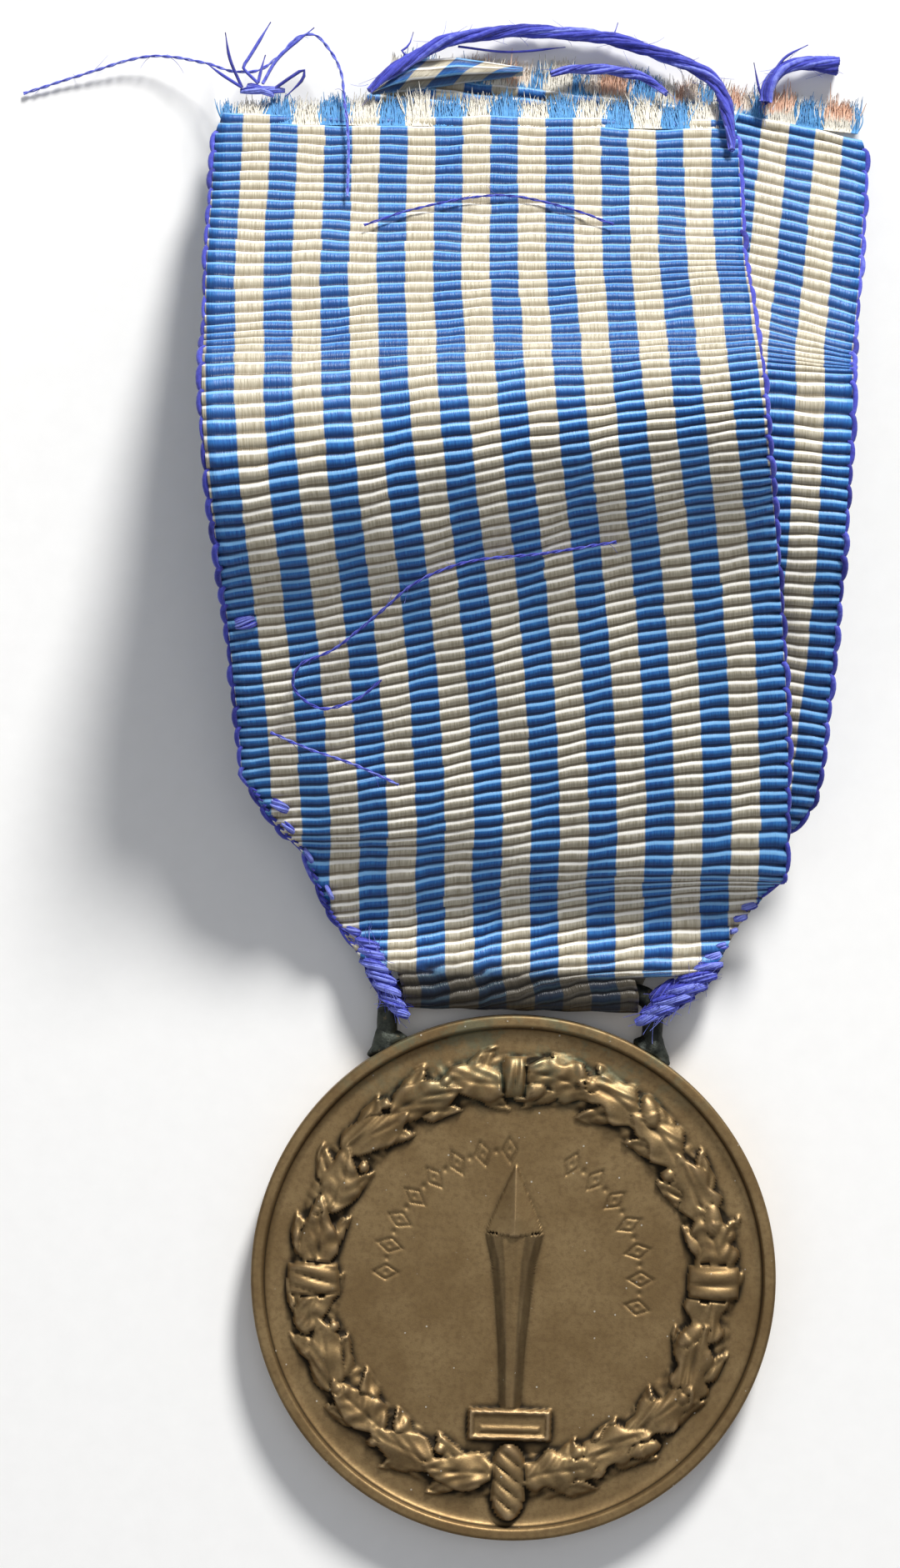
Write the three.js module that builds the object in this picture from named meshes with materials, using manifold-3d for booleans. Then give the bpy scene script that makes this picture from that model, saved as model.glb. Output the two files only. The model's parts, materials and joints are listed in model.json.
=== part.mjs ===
// Military service medal: a struck bronze disc, hung by a soldered wire loop from a
// doubled ribbon whose lower corners are folded in and sewn. It lies on its back, and
// the ribbon still holds the crease it was worn with, so it stands up like a tent.
// Millimetres. +X is right, +Y runs from the disc to the ribbon's top, +Z is up.
// Every point below is measured from the centre of the disc's back.

import * as THREE from 'three';
import { mergeVertices } from 'three/addons/utils/BufferGeometryUtils.js';
import Module from 'manifold-3d';

// Driving dimensions.
const DISC_RADIUS = 18;
const DISC_THICKNESS = 2.8;
const RIM_WIDTH = 0.85;
const FIELD_DEPTH = 0.7;
const BACK_RECESS = 0.35;
const RELIEF = 0.6;
const WREATH_RADIUS = 13.8;
const WREATH_HALF_WIDTH = 1.65;
const WIRE_RADIUS = 0.7;
const LOOP_HALF_SPAN = 9.1;
const BAR_Z = 1.5;
const RIBBON_WIDTH = 37;
const RIBBON_THICKNESS = 0.45;
const SLEEVE_GAP = 0.2;
const SLEEVE_TAIL = 0.8;
const FRINGE_THICKNESS = 0.3;
const SELVEDGE_RADIUS = 0.2;
const STITCH_RADIUS = 0.35;
const GAP = 0.3;
const SWING_CLEARANCE = 0.35;
const EDGE_ROUND = 0.25;
const YARN_RADIUS = 0.5;
const STRAND_RADIUS = 0.15;
const TUFT_HALF_LENGTH = 1.6;
const TUFT_RADIUS = 0.6;

// The ribbon is wrapped round the bar just clear of the disc's edge.
const SLEEVE_RADIUS = WIRE_RADIUS + SLEEVE_GAP + RIBBON_THICKNESS;
const BAR_Y = DISC_RADIUS + SWING_CLEARANCE + SLEEVE_RADIUS;
const SLEEVE_END_Y = BAR_Y + SLEEVE_TAIL;
const PLY_START_Y = SLEEVE_END_Y + GAP;
const HALF_WIDTH = RIBBON_WIDTH / 2;

// Middle of each ply, from the bar to its cut top edge: [x, y, z].
const FRONT_LINE = [
  [-0.4, PLY_START_Y, 2.62], [-0.4, 22.4, 2.3], [-0.45, 24.2, 2.2], [-0.6, 27.2, 3.8],
  [-0.6, 30.5, 5.5], [-1.1, 38, 8.4], [-2.1, 47, 11.9], [-2.9, 52.5, 15.3],
  [-3.5, 57, 17], [-3.9, 61, 15.9], [-4.1, 64, 13.3], [-4.4, 68, 10.4],
  [-4.5, 74, 6.6], [-4.6, 80.6, 2.6], [-4.6, 82, 2],
];
const BACK_LINE = [
  [0.5, PLY_START_Y, 0.38], [0.5, 24.2, 0.4], [0.8, 27.5, 1.1], [1.1, 30.5, 2.8],
  [1.6, 37, 5.7], [2.1, 44, 8.2], [2.3, 48, 9.9], [2.45, 52, 11.5],
  [2.6, 56, 12], [2.8, 60, 11.5], [2.9, 63.7, 10.2], [3.7, 70, 6],
  [4.4, 76.5, 2.3], [4.7, 80, 0.8], [4.9, 82.3, 0.4], [5.05, 83.8, 0.32],
];

// Half widths of the plies at heights y of their middle line: [y, left, right].
const FRONT_WIDTHS = [
  [PLY_START_Y, 10.4, 13], [22.2, 11, 14.2], [25.6, 12.9, 16.2], [28.7, 14.6, 18],
  [32.7, 17.1, 18.4], [35.5, HALF_WIDTH, HALF_WIDTH], [60, HALF_WIDTH, HALF_WIDTH],
  [68, 18, 18], [78, 17.8, 17.8], [79.4, 17, 17.4],
];
const BACK_WIDTHS = [
  [PLY_START_Y, 9.8, 9.8], [24, 12, 12], [28, 15, 14.4], [31, 16.9, 15.7],
  [32.8, 17.6, 17.2], [34.5, 18, 18.2], [37, 18.4, 18.4], [64, 18.2, 18.2], [81.6, 17.6, 17.4],
];

// The heights where the weave ends and its loose warp begins, and where that ends.
const FRONT_TOP_Y = 79.4;
const FRONT_FRINGE_Y = 81.3;
const BACK_TOP_Y = 81.6;
const BACK_FRINGE_Y = 83.3;

// Loose yarn of the weft, by hand: [x, y, z], or [x, y] where it lies on the front ply.
const OUTER_LOOP_ROUTE = [
  [-12, 81, 3.6], [-10.9, 82.2, 3], [-9.2, 83.4, 2.2], [-7, 84.7, 1.7], [-5.1, 85.2, 1.4],
  [-1.9, 85.75, 1], [1.3, 85.6, 1], [4.5, 85.3, 1], [7.75, 84.4, 1.2], [9.4, 83.8, 1.5],
  [11, 82.9, 2.3], [11.8, 81.95, 3.2], [12.2, 81.1, 3.7], [12.5, 80, 4.3], [12.7, 78.6, 5.15],
  [12.8, 77.3, 5.95],
];
const INNER_LOOP_ROUTE = [
  [0.4, 82.7, 1.9], [2, 83.1, 1.6], [4.6, 83.1, 1.6], [6.2, 82.8, 1.9], [7.5, 82.1, 2.8],
  [8.3, 81.3, 3.6],
];
const RIGHT_TAIL_ROUTE = [
  [15.2, 81.2, 1.6], [15.3, 82, 1.6], [15.8, 83, 1.4], [16.7, 83.7, 1.2], [18.3, 84, 1],
  [20.2, 83.8, 0.9],
];
const LONG_STRAND_ROUTE = [
  [-35.9, 80.6, 0.25], [-31.8, 82, 0.5], [-27.2, 83.3, 1], [-23.3, 82.8, 1.9],
  [-21.4, 82.2, 2.6], [-19.6, 82.3, 2.8], [-18.3, 83.3, 2.6], [-17, 84.7, 2.3],
  [-15.9, 84.9, 2.2], [-14.7, 83.7, 2.5], [-13.95, 82.2, 3.1], [-13.7, 80.5, 3.8],
  [-13.3, 77.4, 5.5], [-13.2, 73.2, 8],
];
const ARCH_ROUTE = [[-12, 71.2], [-8.5, 72.5], [-2.9, 73.6], [1.7, 72.8], [4.8, 71.7]];
const CURL_ROUTE = [
  [5.4, 50.1], [0.5, 49.2], [-4.5, 48.5], [-7.8, 47.1], [-10.5, 44.8], [-13.3, 42.5],
  [-15.5, 41.4], [-15.9, 40], [-14.1, 38.6], [-11.6, 39.3], [-10, 40.6],
];
const TUFT_CENTRE = [-19.2, 80.95, 3.8];
const LOW_STRAND_ROUTE = [[-17.4, 36.9], [-14.9, 35.9], [-11.5, 34.8], [-8.7, 33.6]];

const BRONZE = { color: 0x8a6d48, roughness: 0.42, metalness: 0.85 };
const DARK_BRONZE = { color: 0x3b4038, roughness: 0.6, metalness: 0.7 };
const CLOTH = { color: 0x8fb0d4, roughness: 0.9, metalness: 0 };
const YARN = { color: 0x4a55c8, roughness: 0.95, metalness: 0 };

const wasm = await Module();
wasm.setup();

function toSolid(geometry) {
  const bare = geometry.clone();
  bare.deleteAttribute('normal');
  bare.deleteAttribute('uv');
  const merged = mergeVertices(bare, 1e-4);
  const corners = merged.index.array;
  const triVerts = [];
  for (let i = 0; i < corners.length; i += 3) {
    const [a, b, c] = corners.slice(i, i + 3);
    if (a !== b && b !== c && c !== a) triVerts.push(a, b, c);
  }
  return new wasm.Manifold(new wasm.Mesh({
    numProp: 3,
    vertProperties: new Float32Array(merged.attributes.position.array),
    triVerts: new Uint32Array(triVerts),
  }));
}

function toGeometry(solid) {
  const { vertProperties, triVerts } = solid.getMesh();
  const geometry = new THREE.BufferGeometry();
  geometry.setAttribute('position', new THREE.BufferAttribute(vertProperties, 3));
  geometry.setIndex(new THREE.BufferAttribute(triVerts, 1));
  geometry.computeVertexNormals();
  return geometry;
}

function named(name, geometry, look) {
  const mesh = new THREE.Mesh(geometry, new THREE.MeshStandardMaterial(look));
  mesh.name = name;
  return mesh;
}

// Straight-line reading of a table whose rows start with a rising key.
function read(table, key, column) {
  const next = table.findIndex((row) => row[0] >= key);
  if (next === 0) return table[0][column];
  if (next < 0) return table.at(-1)[column];
  const [low, high] = [table[next - 1], table[next]];
  return THREE.MathUtils.mapLinear(key, low[0], high[0], low[column], high[column]);
}

function vectors(route) {
  return route.map(([x, y, z]) => new THREE.Vector3(x, y, z));
}

// A ply of the ribbon: its middle line, and places at a distance s to the right of it.
class Ply {
  constructor(points, widths) {
    this.line = new THREE.CatmullRomCurve3(vectors(points));
    this.widths = widths;
  }

  // t runs from 0 at the bar to 1 at the tips of the fringe.
  at(s, t, lift = 0) {
    const along = this.line.getTangentAt(t);
    const side = new THREE.Vector3(along.y, -along.x, 0).normalize();
    const up = side.clone().cross(along);
    return this.line.getPointAt(t).addScaledVector(side, s).addScaledVector(up, lift);
  }

  halfWidth(t, column) {
    return read(this.widths, this.line.getPointAt(t).y, column);
  }

  // The place t where the middle line reaches a height y.
  whereY(y) {
    let [low, high] = [0, 1];
    for (let i = 0; i < 30; i += 1) {
      const middle = (low + high) / 2;
      if (this.line.getPointAt(middle).y < y) low = middle;
      else high = middle;
    }
    return low;
  }

  // The height of the ply's middle surface over a point of the plan.
  heightOver(x, y) {
    let t = this.whereY(y);
    for (let i = 0; i < 6; i += 1) {
      const middle = this.line.getPointAt(t);
      const along = this.line.getTangentAt(t).setZ(0).normalize();
      const off = (x - middle.x) * along.x + (y - middle.y) * along.y;
      t = this.whereY(middle.y + off * along.y);
    }
    return this.line.getPointAt(t).z;
  }
}

const front = new Ply(FRONT_LINE, FRONT_WIDTHS);
const back = new Ply(BACK_LINE, BACK_WIDTHS);

// A sheet of cloth: place(u, v, lift) gives its points for u in -1..1 and v in 0..1.
function sheet(place, thickness, across, along) {
  const geometry = new THREE.BoxGeometry(2, 1, thickness, across, along, 1);
  const corners = geometry.attributes.position;
  for (let i = 0; i < corners.count; i += 1) {
    const point = place(corners.getX(i), corners.getY(i) + 0.5, corners.getZ(i));
    corners.setXYZ(i, point.x, point.y, point.z);
  }
  return geometry;
}

function plySheet(ply, startY, endY, thickness, along) {
  const [start, end] = [ply.whereY(startY), ply.whereY(endY)];
  const place = (u, v, lift) => {
    const t = THREE.MathUtils.lerp(start, end, v);
    return ply.at(u * ply.halfWidth(t, u < 0 ? 1 : 2), t, lift);
  };
  return sheet(place, thickness, 2, along);
}

// The corner folded in behind a ply, from where the fold starts on the ply's edge down
// to the bar. innerStart and innerEnd are how far its free edge lies from the middle
// line at the two ends. side is -1 on the left, 1 on the right.
function cornerFold(ply, side, foldStartY, innerStart, innerEnd) {
  const lift = -(RIBBON_THICKNESS + FRINGE_THICKNESS) / 2 - GAP;
  const [top, bottom] = [ply.whereY(foldStartY), ply.whereY(PLY_START_Y + SLEEVE_GAP)];
  const place = (u, v, up) => {
    const t = THREE.MathUtils.lerp(top, bottom, v);
    const outer = ply.halfWidth(t, side < 0 ? 1 : 2) - SLEEVE_GAP;
    const inner = THREE.MathUtils.lerp(innerStart, innerEnd, v);
    const reach = THREE.MathUtils.lerp(inner, outer, (u + 1) / 2);
    return ply.at(side * reach, t, lift - up * side);
  };
  return sheet(place, FRINGE_THICKNESS, 2, 10);
}

// A shape's whole circle is cut in twice its curveSegments.
function tube(path, radius, steps, sides = 8) {
  const section = new THREE.Shape();
  section.absarc(0, 0, radius, 0, 2 * Math.PI);
  return new THREE.ExtrudeGeometry(section, {
    steps,
    curveSegments: sides / 2,
    bevelEnabled: false,
    extrudePath: path,
  });
}

// The woven edge of a ply, where the weft turns back.
function selvedge(ply, side, startY, endY) {
  const stops = 24;
  const [start, end] = [ply.whereY(startY), ply.whereY(endY)];
  const points = [];
  for (let i = 0; i <= stops; i += 1) {
    const t = THREE.MathUtils.lerp(start, end, i / stops);
    const reach = ply.halfWidth(t, side < 0 ? 1 : 2) + GAP + SELVEDGE_RADIUS;
    points.push(ply.at(side * reach, t));
  }
  return tube(new THREE.CatmullRomCurve3(points), SELVEDGE_RADIUS, 32, 6);
}

// Loose yarn lying on the front ply, just clear of it. The ply leans, so the clearance
// is a third more upwards than it is square to the cloth.
function onFront(route, radius) {
  const clear = (RIBBON_THICKNESS / 2 + GAP) * 4 / 3 + radius;
  return route.map(([x, y]) => new THREE.Vector3(x, y, front.heightOver(x, y) + clear));
}

// Thick yarn that wanders along the folded corner of the front ply.
function cornerStitching(side, startY, endY) {
  const stitches = 4;
  const [outerInset, innerInset] = [0.9, 1.1];
  const lift = RIBBON_THICKNESS / 2 + GAP + STITCH_RADIUS;
  const points = [];
  for (let i = 0; i <= stitches; i += 1) {
    const t = front.whereY(THREE.MathUtils.lerp(startY, endY, i / stitches));
    const inset = i % 2 === 0 ? outerInset : innerInset;
    points.push(front.at(side * (front.halfWidth(t, side < 0 ? 1 : 2) - inset), t, lift));
  }
  return tube(new THREE.CatmullRomCurve3(points), STITCH_RADIUS, 12, 6);
}

// A flat rim stands round both faces, wider on the back.
function discBlank() {
  const top = DISC_THICKNESS;
  const field = top - FIELD_DEPTH;
  const inner = DISC_RADIUS - RIM_WIDTH;
  const backInner = DISC_RADIUS - 2 * RIM_WIDTH;
  const profile = [
    [0, BACK_RECESS], [backInner - EDGE_ROUND, BACK_RECESS], [backInner, 0],
    [DISC_RADIUS - EDGE_ROUND, 0], [DISC_RADIUS, EDGE_ROUND],
    [DISC_RADIUS, top - EDGE_ROUND], [DISC_RADIUS - EDGE_ROUND, top],
    [inner, top], [inner - EDGE_ROUND, field], [0, field],
  ];
  const points = profile.map(([r, z]) => new THREE.Vector2(r, z));
  return new THREE.LatheGeometry(points, 72).rotateX(Math.PI / 2);
}

// The stem of the wreath, three quarters as wide and as high as its leaves.
function wreathRing() {
  const [sides, share] = [8, 0.75];
  const points = [];
  for (let i = 0; i <= sides; i += 1) {
    const angle = (i / sides) * 2 * Math.PI;
    const r = WREATH_RADIUS + share * WREATH_HALF_WIDTH * Math.cos(angle);
    points.push(new THREE.Vector2(r, share * RELIEF * Math.sin(angle)));
  }
  return new THREE.LatheGeometry(points, 60).rotateX(Math.PI / 2);
}

// One leaf of the wreath: a flat drop, turned a little off the ring's run.
function wreathLeaf(angle, off) {
  const [halfWidth, halfLength, turn] = [0.75, 2.1, 0.45];
  return new THREE.SphereGeometry(1, 8, 6)
    .scale(halfWidth, halfLength, RELIEF)
    .rotateZ(off * turn)
    .translate(WREATH_RADIUS + off * halfWidth, 0, 0)
    .rotateZ(angle);
}

function wreathTie(angle) {
  const halfLength = 1.1;
  return new THREE.CylinderGeometry(RELIEF, RELIEF, 2 * WREATH_HALF_WIDTH, 12)
    .rotateZ(Math.PI / 2)
    .scale(1, halfLength / RELIEF, 1)
    .translate(WREATH_RADIUS, 0, 0)
    .rotateZ(angle);
}

// The sword points up the disc, its grip over the foot of the wreath.
function swordPieces() {
  const ridge = (wide, narrow, length, y) => new THREE.CylinderGeometry(wide, narrow, length, 4)
    .scale(1, 1, RELIEF / Math.max(wide, narrow))
    .translate(0, y, 0);
  return [
    ridge(0.02, 1.95, 4.65, 5.38),
    ridge(1.75, 0.95, 12.2, -3.1),
    new THREE.BoxGeometry(5.8, 2.1, 2 * RELIEF).translate(0, -10.15, 0),
    new THREE.CapsuleGeometry(1.15, 2.8, 6, 16).scale(1, 1, 0.55).translate(0, -13.9, 0),
  ];
}

function medalDisc() {
  const field = DISC_THICKNESS - FIELD_DEPTH;
  let disc = toSolid(discBlank());
  const raised = [wreathRing(), ...swordPieces()];
  const leaves = 26;
  for (let i = 0; i < leaves; i += 1) {
    const angle = ((i + 0.5) / leaves) * 2 * Math.PI;
    raised.push(wreathLeaf(angle, i % 2 === 0 ? 1 : -1));
  }
  for (const angle of [0, Math.PI / 2, Math.PI]) raised.push(wreathTie(angle));
  for (const piece of raised) disc = disc.add(toSolid(piece.translate(0, 0, field)));
  return named('medal_disc', toGeometry(disc), BRONZE);
}

function footY(x) {
  return Math.sqrt(DISC_RADIUS ** 2 - x ** 2);
}

// A round wire bent into a flat-topped loop, its feet standing on the disc's edge.
function suspensionLoop() {
  const bend = 1.3;
  const foot = footY(LOOP_HALF_SPAN - WIRE_RADIUS) + GAP;
  const corner = LOOP_HALF_SPAN - bend;
  const path = new THREE.CurvePath();
  const point = (x, y) => new THREE.Vector3(x, y, BAR_Z);
  path.add(new THREE.LineCurve3(point(-LOOP_HALF_SPAN, foot), point(-LOOP_HALF_SPAN, BAR_Y - bend)));
  path.add(new THREE.QuadraticBezierCurve3(
    point(-LOOP_HALF_SPAN, BAR_Y - bend),
    point(-LOOP_HALF_SPAN, BAR_Y),
    point(-corner, BAR_Y),
  ));
  path.add(new THREE.LineCurve3(point(-corner, BAR_Y), point(corner, BAR_Y)));
  path.add(new THREE.QuadraticBezierCurve3(
    point(corner, BAR_Y),
    point(LOOP_HALF_SPAN, BAR_Y),
    point(LOOP_HALF_SPAN, BAR_Y - bend),
  ));
  path.add(new THREE.LineCurve3(point(LOOP_HALF_SPAN, BAR_Y - bend), point(LOOP_HALF_SPAN, foot)));
  return named('suspension_loop', tube(path, WIRE_RADIUS, 44, 16), DARK_BRONZE);
}

// A collar of solder round a foot of the loop, spread along the disc's edge and parted
// from both by a hair.
function solderJoint(name, side) {
  const parting = 0.15;
  const [halfLength, halfWidth, halfHeight, centreOut] = [2.2, 1.15, 1.25, 0.35];
  const x = side * LOOP_HALF_SPAN;
  const rim = DISC_RADIUS + parting;
  const bore = WIRE_RADIUS + parting;
  const slope = Math.atan2(footY(LOOP_HALF_SPAN), x) - Math.PI / 2;
  const blob = new THREE.SphereGeometry(1, 20, 12)
    .scale(halfLength, halfWidth, halfHeight)
    .rotateZ(slope)
    .translate(x, footY(LOOP_HALF_SPAN) + centreOut, BAR_Z);
  const disc = new THREE.CylinderGeometry(rim, rim, 3 * DISC_THICKNESS, 120).rotateX(Math.PI / 2);
  const post = new THREE.CylinderGeometry(bore, bore, 2 * SLEEVE_RADIUS, 24)
    .translate(x, footY(LOOP_HALF_SPAN - WIRE_RADIUS) + SLEEVE_RADIUS, BAR_Z);
  const solid = toSolid(blob).subtract(toSolid(disc)).subtract(toSolid(post));
  return named(name, toGeometry(solid), DARK_BRONZE);
}

// The turn of the ribbon round the bar, as wide as the loop lets it be.
function barSleeve() {
  const width = 2 * (LOOP_HALF_SPAN - WIRE_RADIUS - GAP);
  const inner = SLEEVE_RADIUS - RIBBON_THICKNESS;
  const tail = SLEEVE_END_Y - BAR_Y;
  const section = new THREE.Shape();
  section.moveTo(tail, SLEEVE_RADIUS);
  section.absarc(0, 0, SLEEVE_RADIUS, Math.PI / 2, 1.5 * Math.PI, false);
  section.lineTo(tail, -SLEEVE_RADIUS);
  section.lineTo(tail, -inner);
  section.absarc(0, 0, inner, 1.5 * Math.PI, Math.PI / 2, true);
  section.lineTo(tail, inner);
  const turn = new THREE.ExtrudeGeometry(section, { depth: width, curveSegments: 20, bevelEnabled: false })
    .rotateY(Math.PI / 2)
    .rotateX(Math.PI / 2)
    .translate(-width / 2, BAR_Y, BAR_Z);
  return named('ribbon_bar_sleeve', turn, CLOTH);
}

function medal() {
  const group = new THREE.Group();
  group.add(medalDisc(), suspensionLoop());
  group.add(solderJoint('left_solder_joint', -1), solderJoint('right_solder_joint', 1));
  return group;
}

function ribbon() {
  const group = new THREE.Group();
  const cloth = (name, geometry) => group.add(named(name, geometry, CLOTH));
  cloth('ribbon_front_ply', plySheet(front, PLY_START_Y, FRONT_TOP_Y, RIBBON_THICKNESS, 44));
  cloth('ribbon_back_ply', plySheet(back, PLY_START_Y, BACK_TOP_Y, RIBBON_THICKNESS, 44));
  group.add(barSleeve());
  cloth('left_corner_fold', cornerFold(front, -1, 33.8, 16, 5.5));
  cloth('right_corner_fold', cornerFold(front, 1, 30.4, 16, 8));
  cloth('front_top_fringe', plySheet(front, FRONT_TOP_Y + GAP, FRONT_FRINGE_Y, FRINGE_THICKNESS, 2));
  cloth('back_top_fringe', plySheet(back, BACK_TOP_Y + GAP, BACK_FRINGE_Y, FRINGE_THICKNESS, 2));
  const edges = [
    ['front_left_selvedge', front, -1, 36, 78.8],
    ['front_right_selvedge', front, 1, 33, 76.2],
    ['back_left_selvedge', back, -1, 35, 81.1],
    ['back_right_selvedge', back, 1, 35.5, 81.1],
  ];
  for (const [name, ...edge] of edges) group.add(named(name, selvedge(...edge), YARN));
  group.add(named('left_corner_stitching', cornerStitching(-1, 21.4, 25), YARN));
  group.add(named('right_corner_stitching', cornerStitching(1, 21.4, 25), YARN));
  return group;
}

function looseYarn() {
  const group = new THREE.Group();
  const strand = (route) => onFront(route, STRAND_RADIUS);
  const tubes = [
    ['outer_yarn_loop', vectors(OUTER_LOOP_ROUTE), YARN_RADIUS, 26],
    ['inner_yarn_loop', vectors(INNER_LOOP_ROUTE), YARN_RADIUS, 9],
    ['right_yarn_tail', vectors(RIGHT_TAIL_ROUTE), YARN_RADIUS, 8],
    ['long_loose_strand', vectors(LONG_STRAND_ROUTE), STRAND_RADIUS, 56],
    ['front_arch_strand', strand(ARCH_ROUTE), STRAND_RADIUS, 24],
    ['front_curl_strand', strand(CURL_ROUTE), STRAND_RADIUS, 44],
    ['front_low_strand', strand(LOW_STRAND_ROUTE), STRAND_RADIUS, 14],
  ];
  for (const [name, points, radius, steps] of tubes) {
    group.add(named(name, tube(new THREE.CatmullRomCurve3(points), radius, steps), YARN));
  }
  const tuft = new THREE.SphereGeometry(1, 12, 8)
    .scale(TUFT_HALF_LENGTH, TUFT_RADIUS, TUFT_RADIUS)
    .translate(...TUFT_CENTRE);
  group.add(named('left_yarn_tuft', tuft, YARN));
  return group;
}

// The origin is the centre of the underside of everything but the free yarn.
const assembly = new THREE.Group();
assembly.add(medal(), ribbon());
const box = new THREE.Box3().setFromObject(assembly, true);
const centre = box.getCenter(new THREE.Vector3());
assembly.add(looseYarn());
assembly.position.set(-centre.x, -centre.y, -box.min.z);

export default assembly;
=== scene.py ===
"""Looks of a military service medal: a struck bronze disc on a creased, frayed ribbon.

Sizes below are millimetres from the centre of the disc's back, +Y towards the ribbon's
top and +Z out of the disc's face. PLACE turns them into the frame's metres.
"""

import json
import math

import bpy
import numpy as np
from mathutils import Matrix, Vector


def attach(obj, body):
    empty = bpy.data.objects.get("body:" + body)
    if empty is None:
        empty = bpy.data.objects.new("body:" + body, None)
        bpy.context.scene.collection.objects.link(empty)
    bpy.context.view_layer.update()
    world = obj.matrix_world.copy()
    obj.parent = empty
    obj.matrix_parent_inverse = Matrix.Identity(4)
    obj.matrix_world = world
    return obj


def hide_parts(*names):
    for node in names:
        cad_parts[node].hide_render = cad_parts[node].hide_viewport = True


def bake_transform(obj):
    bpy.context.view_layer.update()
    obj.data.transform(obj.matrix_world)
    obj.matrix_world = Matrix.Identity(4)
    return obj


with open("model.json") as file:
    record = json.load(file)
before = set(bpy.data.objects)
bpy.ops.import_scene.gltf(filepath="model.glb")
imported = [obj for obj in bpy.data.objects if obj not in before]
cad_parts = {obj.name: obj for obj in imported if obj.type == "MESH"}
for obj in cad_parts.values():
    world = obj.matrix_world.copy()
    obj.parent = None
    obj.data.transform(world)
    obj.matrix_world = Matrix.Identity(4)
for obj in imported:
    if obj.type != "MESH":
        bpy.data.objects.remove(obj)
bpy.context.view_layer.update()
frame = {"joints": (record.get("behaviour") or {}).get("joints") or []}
RNG = np.random.default_rng(20)

# The loop's bar is the hinge of the medal, which ties the two frames together.
BAR = (0.0, 19.7, 1.5)
PLACE = np.array(frame["joints"][0]["pos_m"]) - np.array(BAR) / 1000

RIB_PITCH = 0.83
STRIPE = 1.947
CLOTH_THICKNESS = 0.42
BACK_CREASE_Y = 65.2
DISC_RADIUS = 18.0
DISC_TOP = 2.8
FIELD_Z = 2.1
LOOP_HALF_SPAN = 9.1
WIRE_RADIUS = 0.7
WREATH_R = 13.75
FRONT_CUT_Y, BACK_CUT_Y = 79.4, 81.6
SLEEVE_RADIUS, SLEEVE_HALF_WIDTH = 1.125, 8.1
RIB_HEIGHT = 0.23
RIBBON_COLUMNS = 46
# Least height of a stray fibre over the surface that the object lies on.
FLOOR_GAP = 0.08
THIN_STRAND = 0.3

# Middle of each ply from the bar to its cut top edge: x, y, z.
FRONT_LINE = [
    (-0.4, 20.8, 2.62), (-0.4, 22.4, 2.3), (-0.45, 24.2, 2.2), (-0.6, 27.2, 3.8),
    (-0.6, 30.5, 5.5), (-1.1, 38, 8.4), (-2.1, 47, 11.9), (-2.9, 52.5, 15.3),
    (-3.5, 57, 17), (-3.9, 61, 15.9), (-4.1, 64, 13.3), (-4.4, 68, 10.4),
    (-4.5, 74, 6.6), (-4.6, 80.6, 2.6), (-4.6, 82, 2), (-4.6, 84.5, 1.2),
]
BACK_LINE = [
    (0.5, 20.8, 0.38), (0.5, 24.2, 0.4), (0.8, 27.5, 1.1), (1.1, 30.5, 2.8),
    (1.6, 37, 5.7), (2.1, 44, 8.2), (2.3, 48, 9.9), (2.45, 52, 11.5),
    (2.6, 56, 12), (2.8, 60, 11.5), (2.9, 63.7, 10.2), (3.7, 70, 6),
    (4.4, 76.5, 2.3), (4.7, 80, 0.8), (4.9, 82.3, 0.4), (5.05, 83.8, 0.32), (5.3, 86.5, 0.3),
]
# Half widths at heights y of the middle line: y, left, right.
FRONT_WIDTHS = [
    (20.8, 8.15, 8.15), (20.95, 9.6, 10.9), (21.4, 10.5, 13.2), (22.2, 11, 14.1), (24, 12, 15.3),
    (25.6, 12.9, 17.1), (27.2, 13.7, 18.1), (28.7, 14.6, 18.4), (32.7, 17.1, 18.4),
    (35.5, 18.5, 18.5), (60, 18.5, 18.5), (68, 18.1, 18.1), (78, 17.8, 17.8),
    (FRONT_CUT_Y, 17.3, 17.6),
]
BACK_WIDTHS = [
    (20.8, 8.15, 8.15), (21, 9.3, 9.3), (24, 12, 12), (28, 15, 14.4), (31, 16.9, 15.7),
    (32.8, 17.6, 17.2), (34.5, 18, 18.2), (37, 18.4, 18.4), (64, 18.2, 18.2), (77, 17.9, 17.8),
    (79.5, 16.9, 17.6), (81, 15.6, 17), (BACK_CUT_Y, 14.9, 16.3),
]

# Loose yarn of the weft: x, y, z, or x, y where it lies on the front ply.
OUTER_LOOP_ROUTE = [
    (-12, 81, 3.6), (-10.9, 82.2, 3), (-9.2, 83.4, 2.2), (-7, 84.7, 1.7), (-5.1, 85.2, 1.4),
    (-1.9, 85.75, 1), (1.3, 85.6, 1), (4.5, 85.3, 1), (7.75, 84.4, 1.2), (9.4, 83.8, 1.5),
    (11, 82.9, 2.3), (11.8, 81.95, 3.2), (12.2, 81.1, 3.7), (12.5, 80, 4.3), (12.7, 78.6, 5.15),
    (12.8, 77.3, 5.95),
]
INNER_LOOP_ROUTE = [
    (0.4, 82.7, 1.9), (2, 83.1, 1.6), (4.6, 83.1, 1.6), (6.2, 82.8, 1.9), (7.5, 82.1, 2.8),
    (8.3, 81.3, 3.6),
]
RIGHT_TAIL_ROUTE = [
    (15.2, 81.2, 1.6), (15.3, 82, 1.6), (15.8, 83, 1.4), (16.7, 83.7, 1.2), (18.3, 84, 1),
    (20.2, 83.8, 0.9),
]
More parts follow.
